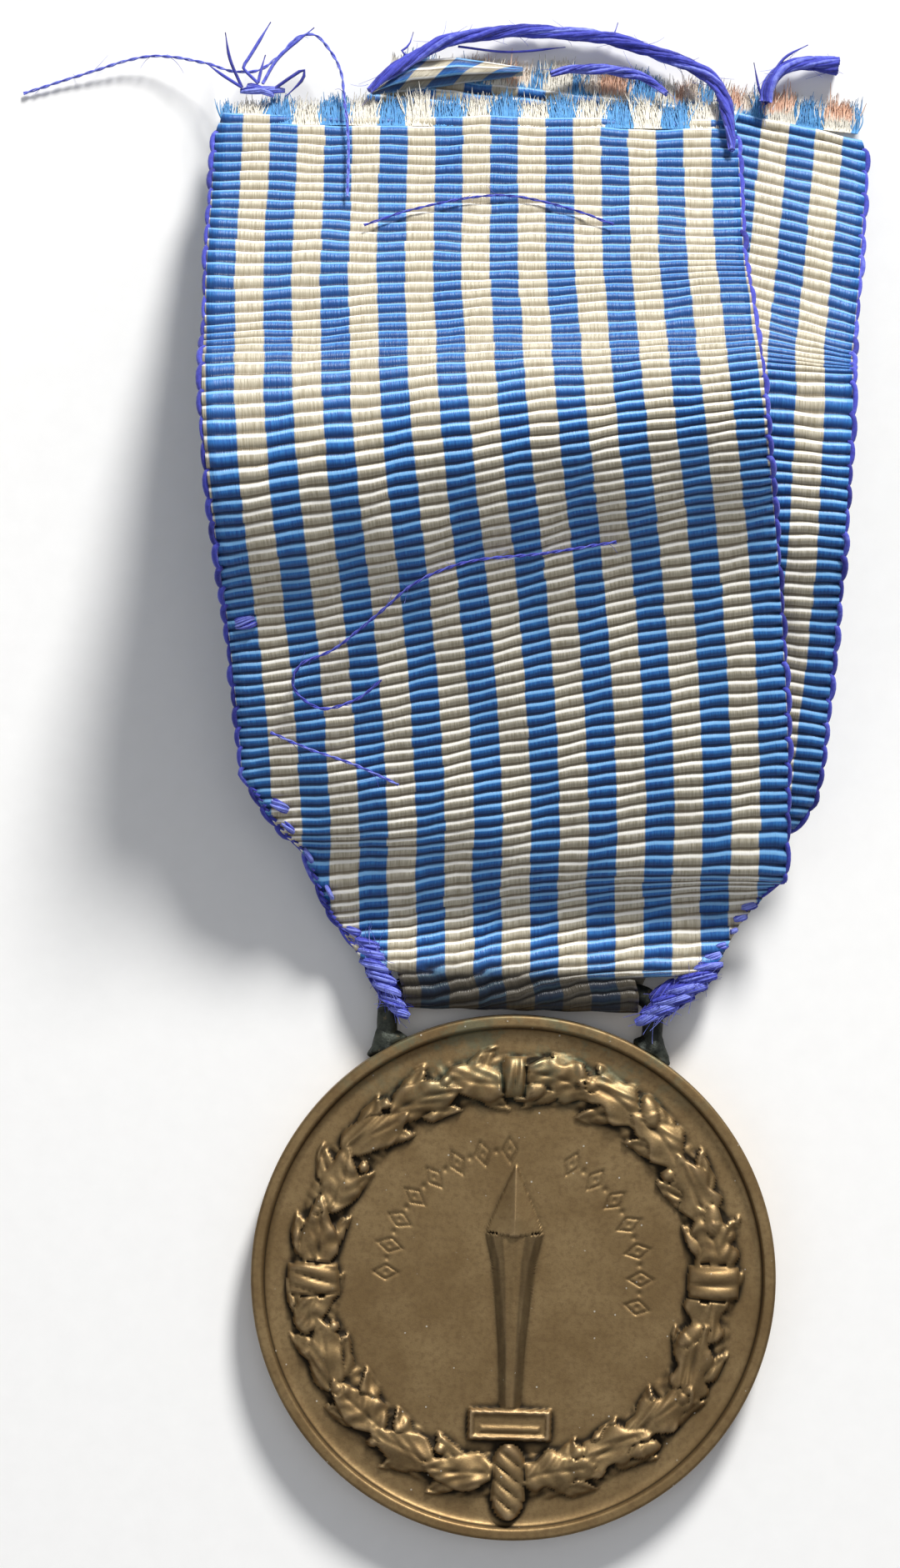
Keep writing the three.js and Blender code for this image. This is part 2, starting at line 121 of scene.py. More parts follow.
LONG_STRAND_ROUTE = [
    (-35.9, 80.6, 0.25), (-31.8, 82, 0.5), (-27.2, 83.3, 1), (-23.3, 82.8, 1.9),
    (-21.4, 82.2, 2.6), (-19.6, 82.3, 2.8), (-18.3, 83.3, 2.6), (-17, 84.7, 2.3),
    (-15.9, 84.9, 2.2), (-14.7, 83.7, 2.5), (-13.95, 82.2, 3.1), (-13.7, 80.5, 3.8),
    (-13.3, 77.4, 5.5), (-13.2, 73.2, 8),
]
ARCH_ROUTE = [(-12, 71.2), (-8.5, 72.5), (-2.9, 73.6), (1.7, 72.8), (4.8, 71.7)]
CURL_ROUTE = [
    (5.4, 50.1), (0.5, 49.2), (-4.5, 48.5), (-7.8, 47.1), (-10.5, 44.8), (-13.3, 42.5),
    (-15.5, 41.4), (-15.9, 40), (-14.1, 38.6), (-11.6, 39.3), (-10, 40.6),
]
LOW_STRAND_ROUTE = [(-17.4, 36.9), (-14.9, 35.9), (-11.5, 34.8), (-8.7, 33.6)]
OUTER_STRAYS = [
    [(-6, 84.5, 1.2), (-2.55, 84.3, 0.6), (1.4, 84.7, 0.8)],
    [(4.6, 85.4, 1.2), (4.8, 85.9, 1), (4.97, 86.5, 0.7)],
    [(-9.2, 83.6, 2), (-9.9, 83.9, 2), (-9.4, 84.4, 1.8), (-9.1, 85.4, 1.3)],
]
TAIL_STRAYS = [
    [(15.7, 83.2, 1.6), (16.5, 84.3, 1.4), (18.1, 85.3, 0.8)],
    [(15.3, 81, 1.7), (14.85, 81.8, 1.7), (14.6, 82.8, 1.5), (14.4, 83.95, 1)],
]
TUFT_BUNCHES = [
    ((-20.7, 80.8, 3.5), (-17.9, 80.9, 3.5)), ((-20.3, 81.2, 3.2), (-18.6, 80.5, 3.8)),
]
TUFT_STRANDS = [
    [(-20.7, 81, 3.4), (-22, 81.8, 3.2), (-23.3, 82.8, 2.2)],
    [(-20.7, 81, 3.4), (-21.6, 83, 2.8), (-22, 84.9, 2.2)],
    [(-19.6, 81.3, 3.4), (-20.7, 82.5, 3), (-20.5, 82.8, 2.9), (-18.9, 85.7, 2.2)],
    [(-19.6, 81.4, 3.4), (-19.4, 82.5, 2.9), (-19.2, 83.4, 2.4)],
    [(-19.3, 81.3, 3.4), (-18.3, 83.2, 2.6), (-15.9, 85.4, 2.2)],
    [(-18.4, 81, 3.6), (-17.3, 81.8, 3.7), (-16.5, 82.3, 3.5), (-16.5, 81.8, 3.5),
     (-17.2, 80.9, 3.7), (-17.7, 80.4, 3.9)],
]

# Corner stitching. Bed: from, to, half width. Stitches: middle x, y, z, half run x, y, half
# width. Tacks: the same without z. Edging: side, from y, to y, step, thickness.
RIGHT_STITCHING = {
    "bed": [((8.7, 18.1, 2.25), (13.3, 21.9, 2.5), 0.85),
            ((9, 19.2, 2.3), (10.6, 20.5, 2.4), 0.6)],
    "stitches": [
        (12.7, 21.75, 2.85, 1, 0.12, 0.3), (12.1, 20.95, 2.95, 1.2, 0.15, 0.33),
        (11.35, 20.15, 2.95, 1.3, 0.2, 0.34), (10.5, 19.4, 2.9, 1.3, 0.25, 0.34),
        (9.6, 18.7, 2.75, 1.15, 0.25, 0.34), (8.8, 18.05, 2.6, 0.8, 0.3, 0.34)],
    "tacks": [
        (15.5, 25.9, 0.5, 0.1, 0.2), (14.9, 25.1, 0.45, 0.1, 0.2), (14.5, 24.2, 0.25, 0.1, 0.13),
        (13.7, 23.1, 0.4, 0.1, 0.2), (13.1, 22.4, 0.6, 0.12, 0.26)],
    "edging": (1, 21.4, 28, 0.8, 0.07),
}
LEFT_STITCHING = {
    "bed": [((-8.1, 18, 2.2), (-10.3, 21.3, 2.4), 0.75)],
    "stitches": [
        (-10.6, 22.7, 2.65, 0.8, -0.25, 0.26), (-10.3, 22, 2.75, 0.95, -0.3, 0.3),
        (-10, 21.2, 2.85, 1, -0.35, 0.32), (-9.6, 20.4, 2.85, 0.95, -0.4, 0.32),
        (-9.2, 19.6, 2.8, 0.9, -0.45, 0.32), (-8.8, 18.8, 2.7, 0.8, -0.4, 0.32),
        (-8.3, 18.1, 2.55, 0.6, -0.35, 0.32)],
    "tacks": [
        (-16.8, 32, 0.6, -0.35, 0.32), (-16.2, 30.6, 0.45, -0.4, 0.2),
        (-14.8, 28.7, 0.3, -0.5, 0.14), (-13.3, 26.2, 0.25, -0.5, 0.13),
        (-11.6, 23.5, 0.5, -0.2, 0.2), (-19.2, 44.2, 0.75, 0.15, 0.42)],
    "edging": (-1, 22.2, 34.5, 0.42, 0.11),
}


# ---------------------------------------------------------------- camera and light

def place(points):
    return np.asarray(points, float) / 1000 + PLACE


def make_camera():
    data = bpy.data.cameras.new("camera")
    data.sensor_width = 36
    data.lens = 119.7
    data.clip_start, data.clip_end = 0.01, 5
    camera = bpy.data.objects.new("camera", data)
    camera.location = place((-5.23, 33.75, 360))
    camera.rotation_euler = (0, 0, math.radians(1.5))
    bpy.context.scene.collection.objects.link(camera)
    bpy.context.scene.camera = camera


def area_light(name, position, target, size, power, colour=(1, 1, 1)):
    data = bpy.data.lights.new(name, "AREA")
    data.shape = "DISK"
    data.size = size
    data.energy = power
    data.color = colour
    light = bpy.data.objects.new(name, data)
    light.location = position
    aim = Vector(target) - Vector(position)
    light.rotation_euler = aim.to_track_quat("-Z", "Y").to_euler()
    bpy.context.scene.collection.objects.link(light)


def make_lights():
    area_light("key", (0.26, 0.83, 0.5), (0, 0, 0), 0.24, 14.2, (1, 0.985, 0.955))
    area_light("fill", (-0.5, -0.25, 0.55), (0, 0, 0), 0.6, 0.5, (0.93, 0.96, 1))
    area_light("top", (0.05, 0.1, 0.8), (0, 0, 0), 0.5, 0.5)
    world = bpy.data.worlds.new("studio")
    world.use_nodes = True
    background = world.node_tree.nodes["Background"]
    background.inputs["Color"].default_value = (0.93, 0.95, 1, 1)
    background.inputs["Strength"].default_value = 0.27
    bpy.context.scene.world = world
    bpy.context.scene.view_settings.view_transform = "Standard"


# ---------------------------------------------------------------- curves and meshes

class Line:
    """A centripetal Catmull-Rom curve, read by its length along it."""

    def __init__(self, points, per_span=24):
        p = np.asarray(points, float)
        p = np.vstack([2 * p[0] - p[1], p, 2 * p[-1] - p[-2]])
        out = [p[1]]
        for a, b, c, d in zip(p, p[1:], p[2:], p[3:]):
            out.extend(self.span(a, b, c, d, per_span))
        self.points = np.array(out)
        steps = np.linalg.norm(np.diff(self.points, axis=0), axis=1)
        self.lengths = np.concatenate([[0], np.cumsum(steps)])
        self.length = self.lengths[-1]

    @staticmethod
    def span(a, b, c, d, count):
        da, db, dc = (math.sqrt(np.linalg.norm(v)) for v in (b - a, c - b, d - c))
        t1 = ((b - a) / da - (c - a) / (da + db) + (c - b) / db) * db
        t2 = ((c - b) / db - (d - b) / (db + dc) + (d - c) / dc) * db
        for i in range(1, count + 1):
            t = i / count
            yield (b + t1 * t + (-3 * b + 3 * c - 2 * t1 - t2) * t**2
                   + (2 * b - 2 * c + t1 + t2) * t**3)

    def at(self, length):
        columns = [np.interp(length, self.lengths, self.points[:, i]) for i in range(3)]
        return np.stack(columns, -1)

    def where_y(self, y):
        return float(np.interp(y, self.points[:, 1], self.lengths))


def smooth(values, passes=2):
    for _ in range(passes):
        padded = np.concatenate([values[:1], values, values[-1:]])
        values = (padded[:-2] + 2 * padded[1:-1] + padded[2:]) / 4
    return values


def unit(v):
    return v / np.maximum(np.linalg.norm(v, axis=-1, keepdims=True), 1e-12)


def new_mesh(name, points, faces, material, body=None, **attributes):
    """A smooth-shaded object, with a value at each point for each named attribute."""
    mesh = bpy.data.meshes.new(name)
    mesh.from_pydata(place(points).tolist(), [], faces)
    mesh.polygons.foreach_set("use_smooth", [True] * len(mesh.polygons))
    for key, values in attributes.items():
        layer = mesh.attributes.new(key, "FLOAT", "POINT")
        layer.data.foreach_set("value", np.asarray(values, np.float32).ravel())
    mesh.update()
    obj = bpy.data.objects.new(name, mesh)
    bpy.context.scene.collection.objects.link(obj)
    obj.data.materials.append(material)
    if body:
        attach(obj, body)
    return obj


def grid_faces(rows, columns, wrap=False):
    r = np.arange(rows - 1)[:, None]
    c = np.arange(columns if wrap else columns - 1)[None, :]
    n = (c + 1) % columns
    quads = np.stack(np.broadcast_arrays(
        r * columns + c, r * columns + n, (r + 1) * columns + n, (r + 1) * columns + c), -1)
    return quads.reshape(-1, 4)


class Batch:
    """Many small tubes gathered in one mesh."""

    def __init__(self):
        self.points, self.faces, self.values = [], [], {}
        self.count = 0

    def add(self, points, faces, **values):
        self.points.append(points)
        self.faces.extend((np.asarray(faces) + self.count).tolist())
        self.count += len(points)
        for key, value in values.items():
            filled = np.broadcast_to(np.asarray(value, float), (len(points),))
            self.values.setdefault(key, []).append(filled)

    def tube(self, path, radius, sides=5, **values):
        path = np.asarray(path, float)
        count = len(path)
        radius = np.broadcast_to(np.asarray(radius, float), (count,))
        along = unit(np.gradient(path, axis=0))
        side = unit(np.cross(along, [0.31, 0.17, 0.93]))
        up = np.cross(along, side)
        angle = np.arange(sides) / sides * 2 * math.pi
        ring = (np.cos(angle)[None, :, None] * side[:, None]
                + np.sin(angle)[None, :, None] * up[:, None])
        points = (path[:, None] + ring * radius[:, None, None]).reshape(-1, 3)
        faces = grid_faces(count, sides, wrap=True).tolist()
        points = np.vstack([points, path[0], path[-1]])
        # Closed at both ends; a face that names its last point twice is a triangle.
        last, cap = (count - 1) * sides, count * sides
        for i in range(sides):
            n = (i + 1) % sides
            faces.append([i, n, cap, cap])
            faces.append([last + n, last + i, cap + 1, cap + 1])
        spread = {k: (np.concatenate([np.repeat(v, sides), [v[0], v[-1]]])
                      if np.ndim(v) else v) for k, v in values.items()}
        self.add(points, faces, **spread)

    def build(self, name, material, body=None):
        faces = [f[:3] if f[2] == f[3] else f for f in self.faces]
        values = {key: np.concatenate(parts) for key, parts in self.values.items()}
        return new_mesh(name, np.vstack(self.points), faces, material, body, **values)


def twisted(batch, line, radius, plies, pitch, threads, splay, taper):
    """Yarn of several plies, each of several threads, laid round a line."""
    l = np.linspace(0, line.length, max(8, int(line.length / 0.22)))
    middle = line.at(l)
    along = unit(np.gradient(middle, axis=0))
    side = unit(np.cross(along, [0, 0, 1.0]))
    up = np.cross(side, along)
    ply_radius = radius * (0.5 if plies > 1 else 1.0)
    thread = ply_radius * (0.56 if threads > 1 else 1.0)
    fray = 1 + splay * np.clip(l / line.length - 0.6, 0, 1) * 3
    thin = 1 - taper * (np.clip(1 - (line.length - l) / 3.5, 0, 1) + np.clip(1 - l / 2.5, 0, 1))
    for p in range(plies):
        turn = 2 * math.pi * (l / pitch + p / plies)
        reach = (radius - ply_radius) * (1 + 0.18 * np.sin(l * 1.1 + p * 2)) * fray * thin
        centre = middle + reach[:, None] * (np.cos(turn)[:, None] * side
                                            + np.sin(turn)[:, None] * up)
        for s in range(threads):
            inner = 2 * math.pi * (l / (pitch * 0.7) + s / threads) + p
            out = (ply_radius - thread) * fray * thin
            path = centre + out[:, None] * (np.cos(inner)[:, None] * side
                                            + np.sin(inner)[:, None] * up)
            shade = RNG.uniform(0.1, 0.9)
            uneven = 1 + 0.15 * np.sin(l * 5 + s * 2 + p)
            batch.tube(path, thread * thin * uneven, 5, shade=shade)


def fuzz(batch, line, reach, count, radius=0.022, length=1.1):
    """Fine stray fibres standing off a yarn."""
    for _ in range(count):
        at = RNG.uniform(0, 1) * line.length
        here = line.at([at, min(at + 0.3, line.length)])
        ahead = unit(here[1] - here[0] + 1e-6) * RNG.choice([-1, 1])
        away = unit(RNG.normal(size=3) * [1, 1, 0.45])
        bend = unit(RNG.normal(size=3) * [1, 1, 0.3])
        t = np.linspace(0, 1, 6)[:, None]
        size = length * RNG.uniform(0.4, 1.1)
        path = here[0] + (ahead * t * size + away * (reach * 0.7 + t * size * 0.45)
                          + bend * t**2 * size * 0.5)
        path[:, 2] = np.maximum(path[:, 2], FLOOR_GAP)
        batch.tube(path, radius * np.linspace(1, 0.4, 6), 3, shade=RNG.uniform(0.3, 1))


# ---------------------------------------------------------------- materials

class Nodes:
    """Short calls for building one material."""

    def __init__(self, name, roughness, metallic=0.0, **constants):
        self.material = bpy.data.materials.new(name)
        self.material.use_nodes = True
        self.tree = self.material.node_tree
        self.shader = self.tree.nodes["Principled BSDF"]
        self.shader.inputs["Roughness"].default_value = roughness
        self.shader.inputs["Metallic"].default_value = metallic
        for key, value in constants.items():
            self.shader.inputs[key.replace("_", " ")].default_value = value

    def put(self, value, socket):
        if isinstance(value, bpy.types.NodeSocket):
            self.tree.links.new(value, socket)
        elif isinstance(value, tuple) and len(value) == 3 and socket.type == "RGBA":
            socket.default_value = (*value, 1)
        else:
            socket.default_value = value

    def attribute(self, name):
        node = self.tree.nodes.new("ShaderNodeAttribute")
        node.attribute_name = name
        return node.outputs["Fac"]

    def position(self):
        """The object's own coordinates, in millimetres."""
        texture = self.tree.nodes.new("ShaderNodeTexCoord")
        mapping = self.tree.nodes.new("ShaderNodeMapping")
        mapping.inputs["Scale"].default_value = (1000, 1000, 1000)
        self.tree.links.new(texture.outputs["Object"], mapping.inputs["Vector"])
        return mapping.outputs["Vector"]

    def math(self, operation, a, b=0.0, clamp=False):
        node = self.tree.nodes.new("ShaderNodeMath")
        node.operation = operation
        node.use_clamp = clamp
        for value, socket in zip((a, b), node.inputs):
            self.put(value, socket)
        return node.outputs[0]

    def times(self, a, b):
        return self.math("MULTIPLY", a, b)

    def plus(self, a, b):
        return self.math("ADD", a, b)

    def combine(self, x, y):
        node = self.tree.nodes.new("ShaderNodeCombineXYZ")
        for value, socket in zip((x, y), node.inputs):
            self.put(value, socket)
        return node.outputs[0]

    def noise(self, vector, scale, detail=3.0, roughness=0.55):
        node = self.tree.nodes.new("ShaderNodeTexNoise")
        self.put(vector, node.inputs["Vector"])
        node.inputs["Scale"].default_value = scale
        node.inputs["Detail"].default_value = detail
        node.inputs["Roughness"].default_value = roughness
        return node.outputs["Fac"]

    def speckle(self, vector, scale, size):
        node = self.tree.nodes.new("ShaderNodeTexVoronoi")
        self.put(vector, node.inputs["Vector"])
        node.inputs["Scale"].default_value = scale
        return self.ramp(node.outputs["Distance"], size * 1.6, size, smooth_edge=False)

    def ramp(self, value, low, high, smooth_edge=True):
        node = self.tree.nodes.new("ShaderNodeMapRange")
        node.interpolation_type = "SMOOTHSTEP" if smooth_edge and high > low else "LINEAR"
        self.put(value, node.inputs["Value"])
        node.inputs["From Min"].default_value = low
        node.inputs["From Max"].default_value = high
        return node.outputs["Result"]

    def mix(self, fac, a, b, blend="MIX"):
        node = self.tree.nodes.new("ShaderNodeMix")
        node.data_type = "RGBA"
        node.blend_type = blend
        self.put(fac, node.inputs["Factor"])
        self.put(a, node.inputs[6])
        self.put(b, node.inputs[7])
        return node.outputs[2]

    def tint(self, base, colour, mask, amount):
        """Base, with some of a colour where the mask is 1."""
        return self.mix(self.times(mask, amount), base, colour)

    def weave_noise(self, across, across_scale, along, along_scale, detail):
        spot = self.combine(self.times(across, across_scale), self.times(along, along_scale))
        return self.noise(spot, 1.0, detail)

    def bump(self, height, strength, distance_mm):
        node = self.tree.nodes.new("ShaderNodeBump")
        node.inputs["Strength"].default_value = strength
        node.inputs["Distance"].default_value = distance_mm / 1000
        self.put(height, node.inputs["Height"])
        self.tree.links.new(node.outputs["Normal"], self.shader.inputs["Normal"])

    def done(self, colour, roughness=None):
        self.put(colour, self.shader.inputs["Base Color"])
        if roughness is not None:
            self.put(roughness, self.shader.inputs["Roughness"])
        return self.material


def cloth_material():
    """Ribbed weave: warp stripes over thick weft cords."""
    n = Nodes("striped_ribbed_ribbon", 0.42, Specular_IOR_Level=0.45, Sheen_Weight=0.1)
    across, along = n.attribute("across"), n.attribute("along")
    rib = n.math("FRACT", n.math("DIVIDE", along, RIB_PITCH))
    # Painted highlight: a pale band along the upper side of each cord, where the key light falls.
    painted_crown_highlight = n.times(n.ramp(rib, 0.08, 0.16), n.ramp(rib, 0.4, 0.3, smooth_edge=False))
    # Painted shade: the lower side of each cord, turned from the key light, is darkened.
    painted_underside_shade = n.ramp(rib, 0.48, 0.8)
    rib_number = n.math("FLOOR", n.math("DIVIDE", along, RIB_PITCH))
    threads = n.weave_noise(across, 7.5, along, 0.55, 2.0)
    wander = n.weave_noise(across, 1.2, rib_number, 0.73, 1.0)
    shifted = n.plus(across, n.times(n.math("SUBTRACT", wander, 0.5), 0.34))
    cell = n.math("ABSOLUTE", n.math("SUBTRACT", n.math("FRACT", n.math(
        "ADD", n.math("DIVIDE", shifted, 2 * STRIPE), 0.5)), 0.5))
    white = n.ramp(cell, 0.262, 0.238, smooth_edge=False)
    fade = n.weave_noise(across, 0.1, along, 0.07, 3.0)
    blue = n.mix(n.ramp(threads, 0.3, 0.72), (0.006, 0.085, 0.36), (0.03, 0.2, 0.56))
    blue = n.tint(blue, (0.03, 0.2, 0.55), n.ramp(fade, 0.35, 0.7), 0.4)
    blue = n.tint(blue, (0.24, 0.54, 0.9), painted_crown_highlight, 0.8)
    blue = n.tint(blue, (0.004, 0.038, 0.17), painted_underside_shade, 0.75)
    cream = n.mix(n.ramp(threads, 0.25, 0.7), (0.38, 0.335, 0.235), (0.64, 0.59, 0.465))
    cream = n.tint(cream, (1.0, 0.98, 0.92), painted_crown_highlight, 0.92)
    cream = n.tint(cream, (0.36, 0.3, 0.19), painted_underside_shade, 0.4)
    # Painted shade: the grooves between the cords are darkened.
    edge = n.times(n.ramp(rib, 0.04, 0.2), n.ramp(rib, 0.99, 0.86, smooth_edge=False))
    painted_groove_shade = n.math("SUBTRACT", 1.0, edge)
    blue = n.tint(blue, (0.003, 0.014, 0.06), painted_groove_shade, 0.85)
    cream = n.tint(cream, (0.2, 0.15, 0.09), painted_groove_shade, 0.75)
    colour = n.mix(white, blue, cream)
    # Painted shade: the colour is multiplied towards near black where this attribute is high.
    colour = n.mix(n.attribute("dirt"), colour, (0.07, 0.06, 0.045), "MULTIPLY")
    fibres = n.weave_noise(across, 16.0, along, 3.0, 2.0)
    n.bump(n.plus(n.times(threads, 0.8), n.times(fibres, 0.6)), 0.55, 0.09)
    return n.done(colour)


def yarn_material():
    n = Nodes("violet_weft_yarn", 0.72, Specular_IOR_Level=0.25, Sheen_Weight=0.25)
    shade = n.attribute("shade")
    grain = n.noise(n.position(), 3.2, 4.0)
    mixed = n.plus(n.times(shade, 0.6), n.times(grain, 0.5))
    colour = n.mix(n.ramp(mixed, 0.15, 0.6), (0.018, 0.02, 0.2), (0.06, 0.072, 0.5))
    colour = n.mix(n.ramp(mixed, 0.56, 0.95), colour, (0.25, 0.3, 0.82))
    n.bump(n.noise(n.position(), 9.0, 2.0), 0.5, 0.06)
    return n.done(colour)


def fringe_material():
    """Loose warp ends: shade 0 is blue, 1 is cream, 2 is faded salmon."""
    n = Nodes("frayed_warp_ends", 0.65, Specular_IOR_Level=0.3, Sheen_Weight=0.2)
    shade = n.attribute("shade")
    grain = n.noise(n.position(), 2.5, 4.0)
    blue = n.mix(grain, (0.025, 0.18, 0.48), (0.16, 0.45, 0.76))
    cream = n.mix(grain, (0.6, 0.55, 0.44), (0.92, 0.9, 0.83))
    salmon = n.mix(grain, (0.62, 0.3, 0.17), (0.86, 0.6, 0.45))
    colour = n.mix(n.math("MINIMUM", shade, 1.0), blue, cream)
    colour = n.mix(n.math("SUBTRACT", shade, 1.0, clamp=True), colour, salmon)
    n.bump(n.noise(n.position(), 8.0, 2.0), 0.4, 0.05)
    return n.done(colour)


def bronze_material():
    n = Nodes("struck_bronze", 0.45, 0.85)
    spot = n.position()
    mottle = n.noise(spot, 0.22, 5.0, 0.6)
    fine = n.noise(spot, 2.4, 4.0, 0.65)
    sand = n.noise(spot, 9.0, 3.0, 0.6)
    cavity, worn, green = n.attribute("cavity"), n.attribute("worn"), n.attribute("verdigris")
    brown = n.mix(n.ramp(mottle, 0.3, 0.72), (0.235, 0.153, 0.067), (0.335, 0.232, 0.11))
    brown = n.tint(brown, (0.17, 0.105, 0.05), n.ramp(fine, 0.4, 0.7), 0.5)
    brown = n.tint(brown, (0.5, 0.36, 0.21), worn, 0.5)
    # Partly the bronze's own dark patina, partly painted shade: sunk places, the gaps round the
    # relief and the rim's step are darkened towards near black.
    brown = n.mix(n.ramp(cavity, 0.0, 1.0), brown, (0.03, 0.022, 0.013))
    touch = n.times(green, n.ramp(n.noise(spot, 0.5, 5.0, 0.7), 0.45, 0.65))
    brown = n.tint(brown, (0.17, 0.2, 0.13), touch, 0.55)
    dust = n.times(n.speckle(spot, 0.95, 0.045), n.ramp(n.noise(spot, 1.7), 0.44, 0.5))
    colour = n.tint(brown, (0.8, 0.76, 0.66), dust, 0.7)
    rough = n.plus(n.times(fine, 0.16),
                   n.plus(n.times(cavity, 0.25), 0.4))
    n.bump(n.plus(n.times(sand, 0.5), n.times(fine, 0.5)), 0.35, 0.05)
    return n.done(colour, rough)


def patina_material():
    n = Nodes("dark_patina", 0.55, 0.75)
    spot = n.position()
    patch = n.noise(spot, 0.7, 5.0, 0.65)
    colour = n.mix(n.ramp(patch, 0.4, 0.6), (0.016, 0.019, 0.016), (0.055, 0.062, 0.05))
    bare = n.ramp(n.noise(spot, 1.4, 4.0, 0.7), 0.58, 0.72)
    colour = n.tint(colour, (0.25, 0.19, 0.11), bare, 0.6)
    n.bump(n.noise(spot, 3.5, 4.0), 0.6, 0.12)
    return n.done(colour, n.plus(n.times(patch, 0.3), 0.4))


def floor_material():
    n = Nodes("pale_paper_floor", 0.8, Specular_IOR_Level=0.2)
    grain = n.noise(n.position(), 0.6, 4.0)
    n.bump(grain, 0.05, 0.1)
    return n.done(n.mix(grain, (0.91, 0.91, 0.905), (0.96, 0.96, 0.955)))


# ---------------------------------------------------------------- ribbon

front, back = Line(FRONT_LINE), Line(BACK_LINE)


def width_at(table, y, column):
    rows = np.array(table)
    return np.interp(y, rows[:, 0], rows[:, column])


def ribbon_line():
    """The strip's middle line in three parts: down the front, round the bar, up the back."""
    front_part = front.at(np.linspace(front.where_y(FRONT_CUT_Y), 0, 320))
    angle = np.linspace(math.pi / 2, -math.pi / 2, 40)[1:-1]
    turn = np.stack([np.zeros_like(angle), BAR[1] - SLEEVE_RADIUS * np.cos(angle),
                     BAR[2] + SLEEVE_RADIUS * np.sin(angle)], -1)
    back_part = back.at(np.linspace(0, back.where_y(BACK_CUT_Y), 320))
    return front_part, turn, back_part


def build_ribbon(material):
    front_part, turn, back_part = ribbon_line()
    middle = np.vstack([front_part, turn, back_part])
    steps = np.linalg.norm(np.diff(middle, axis=0), axis=1)
    lengths = np.concatenate([[0], np.cumsum(steps)])
    # Across, always towards the front's right; kept where the strip turns over the bar.
    side = np.vstack([
        side_of(front_part), np.tile([1.0, 0, 0], (len(turn), 1)), side_of(back_part)])
    side = unit(smooth(side, 6))
    left, right = (np.concatenate([
        width_at(FRONT_WIDTHS, front_part[:, 1], column), np.full(len(turn), SLEEVE_HALF_WIDTH),
        width_at(BACK_WIDTHS, back_part[:, 1], column)]) for column in (1, 2))
    ribs = int(lengths[-1] / RIB_PITCH)
    phases = np.array([0, 0.12, 0.28, 0.5, 0.72, 0.88])
    profile = np.array([0, 0.55, 0.9, 1, 0.9, 0.55]) * RIB_HEIGHT
    along = (np.arange(ribs)[:, None] + phases[None, :]).ravel() * RIB_PITCH
    number = np.floor(along / RIB_PITCH + 1e-6)
    rows, columns = len(along), RIBBON_COLUMNS
    u = np.linspace(-1, 1, columns)[None, :]
    fold = lengths[len(front_part)]
    crease = lengths[len(front_part) + len(turn)] + back.where_y(BACK_CREASE_Y)
    where = along[:, None] - rib_drift(along, number, u, fold, crease)
    where = np.clip(where, 0, lengths[-1])

    def pick(table):
        return np.stack([np.interp(where, lengths, table[:, i]) for i in range(table.shape[1])], -1)

    centre, across = pick(middle), unit(pick(side))
    tangent = unit(pick(np.gradient(middle, axis=0)))
    out = unit(np.cross(across, -tangent))
    w_left, w_right = np.interp(where, lengths, left), np.interp(where, lengths, right)
    s = np.where(u < 0, u * w_left, u * w_right)
    cord = np.tile(profile, ribs)[:, None] * (1 + 0.16 * np.sin(number * 12.9898))[:, None]
    wave = cloth_wave(centre[..., 1], centre[..., 2], s)
    base = centre + across * s[..., None] + out * wave[..., None]
    ripple = cord * (1 + 0.1 * np.sin(s * 1.7 + number[:, None]))
    half = CLOTH_THICKNESS / 2 - 0.15
    top = base + out * (half + ripple)[..., None]
    bottom = base - out * (half + ripple)[..., None]
    points = np.vstack([top.reshape(-1, 3), bottom.reshape(-1, 3)])
    shift = rows * columns
    upper = grid_faces(rows, columns)
    faces = upper.tolist() + (upper[:, ::-1] + shift).tolist() + edge_faces(rows, columns, shift)
    # Painted shade: the cloth turns near black where it rolls round the bar.
    rolled = np.exp(-(np.maximum(fold - where, (where - fold) / 3) / 1.5) ** 2)
    dirt = np.clip(1.5 * rolled, 0, 0.97)
    # The weave is drawn in a little towards its cut ends.
    drawn = s * (1 + 0.035 * np.clip((centre[..., 1] - 50) / 25, 0, 1))
    # Past the fold the cords are counted back down, so each one's painted highlight and painted
    # shade face the same way.
    turned = 2 * math.floor(fold / RIB_PITCH) * RIB_PITCH
    counted = np.where(along > fold, turned - along, along)
    values = {"across": np.tile(drawn.ravel(), 2), "along": np.tile(np.repeat(counted, columns), 2),
              "dirt": np.tile(dirt.ravel(), 2)}
    ribbon = new_mesh("ribbon", points, faces, material, "ribbon", **values)
    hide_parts("ribbon_front_ply", "ribbon_back_ply", "ribbon_bar_sleeve")
    return ribbon, lengths[-1]


def rib_drift(along, number, u, fold, crease):
    """How far each cord climbs across the ribbon.

    It climbs most on the front's slack lower half, and drops past the back's crease.
    """
    below = np.clip((along - 20) / 16, 0, 1) * (1 - np.clip((along - fold - 4) / 25, 0, 1))
    climb = 1.75 * (np.sin((u * 18 + 1) / 12.5) - 0.08)
    even = 0.05 * np.sin(u * 16 + number[:, None] * 0.37) + 0.03 * np.sin(u * 41 + number[:, None])
    past = np.clip((along - crease) / 1.6, 0, 1)[:, None]
    drop = 0.12 * (np.maximum(u * 18, 9) - 12.5) * past
    return climb * below[:, None] + drop + even


def side_of(points):
    """Which way is across the ribbon, to the right and level."""
    along = unit(np.gradient(points, axis=0))
    along = along * np.sign(along[:, 1:2])
    return unit(np.stack([along[:, 1], -along[:, 0], np.zeros(len(along))], -1))


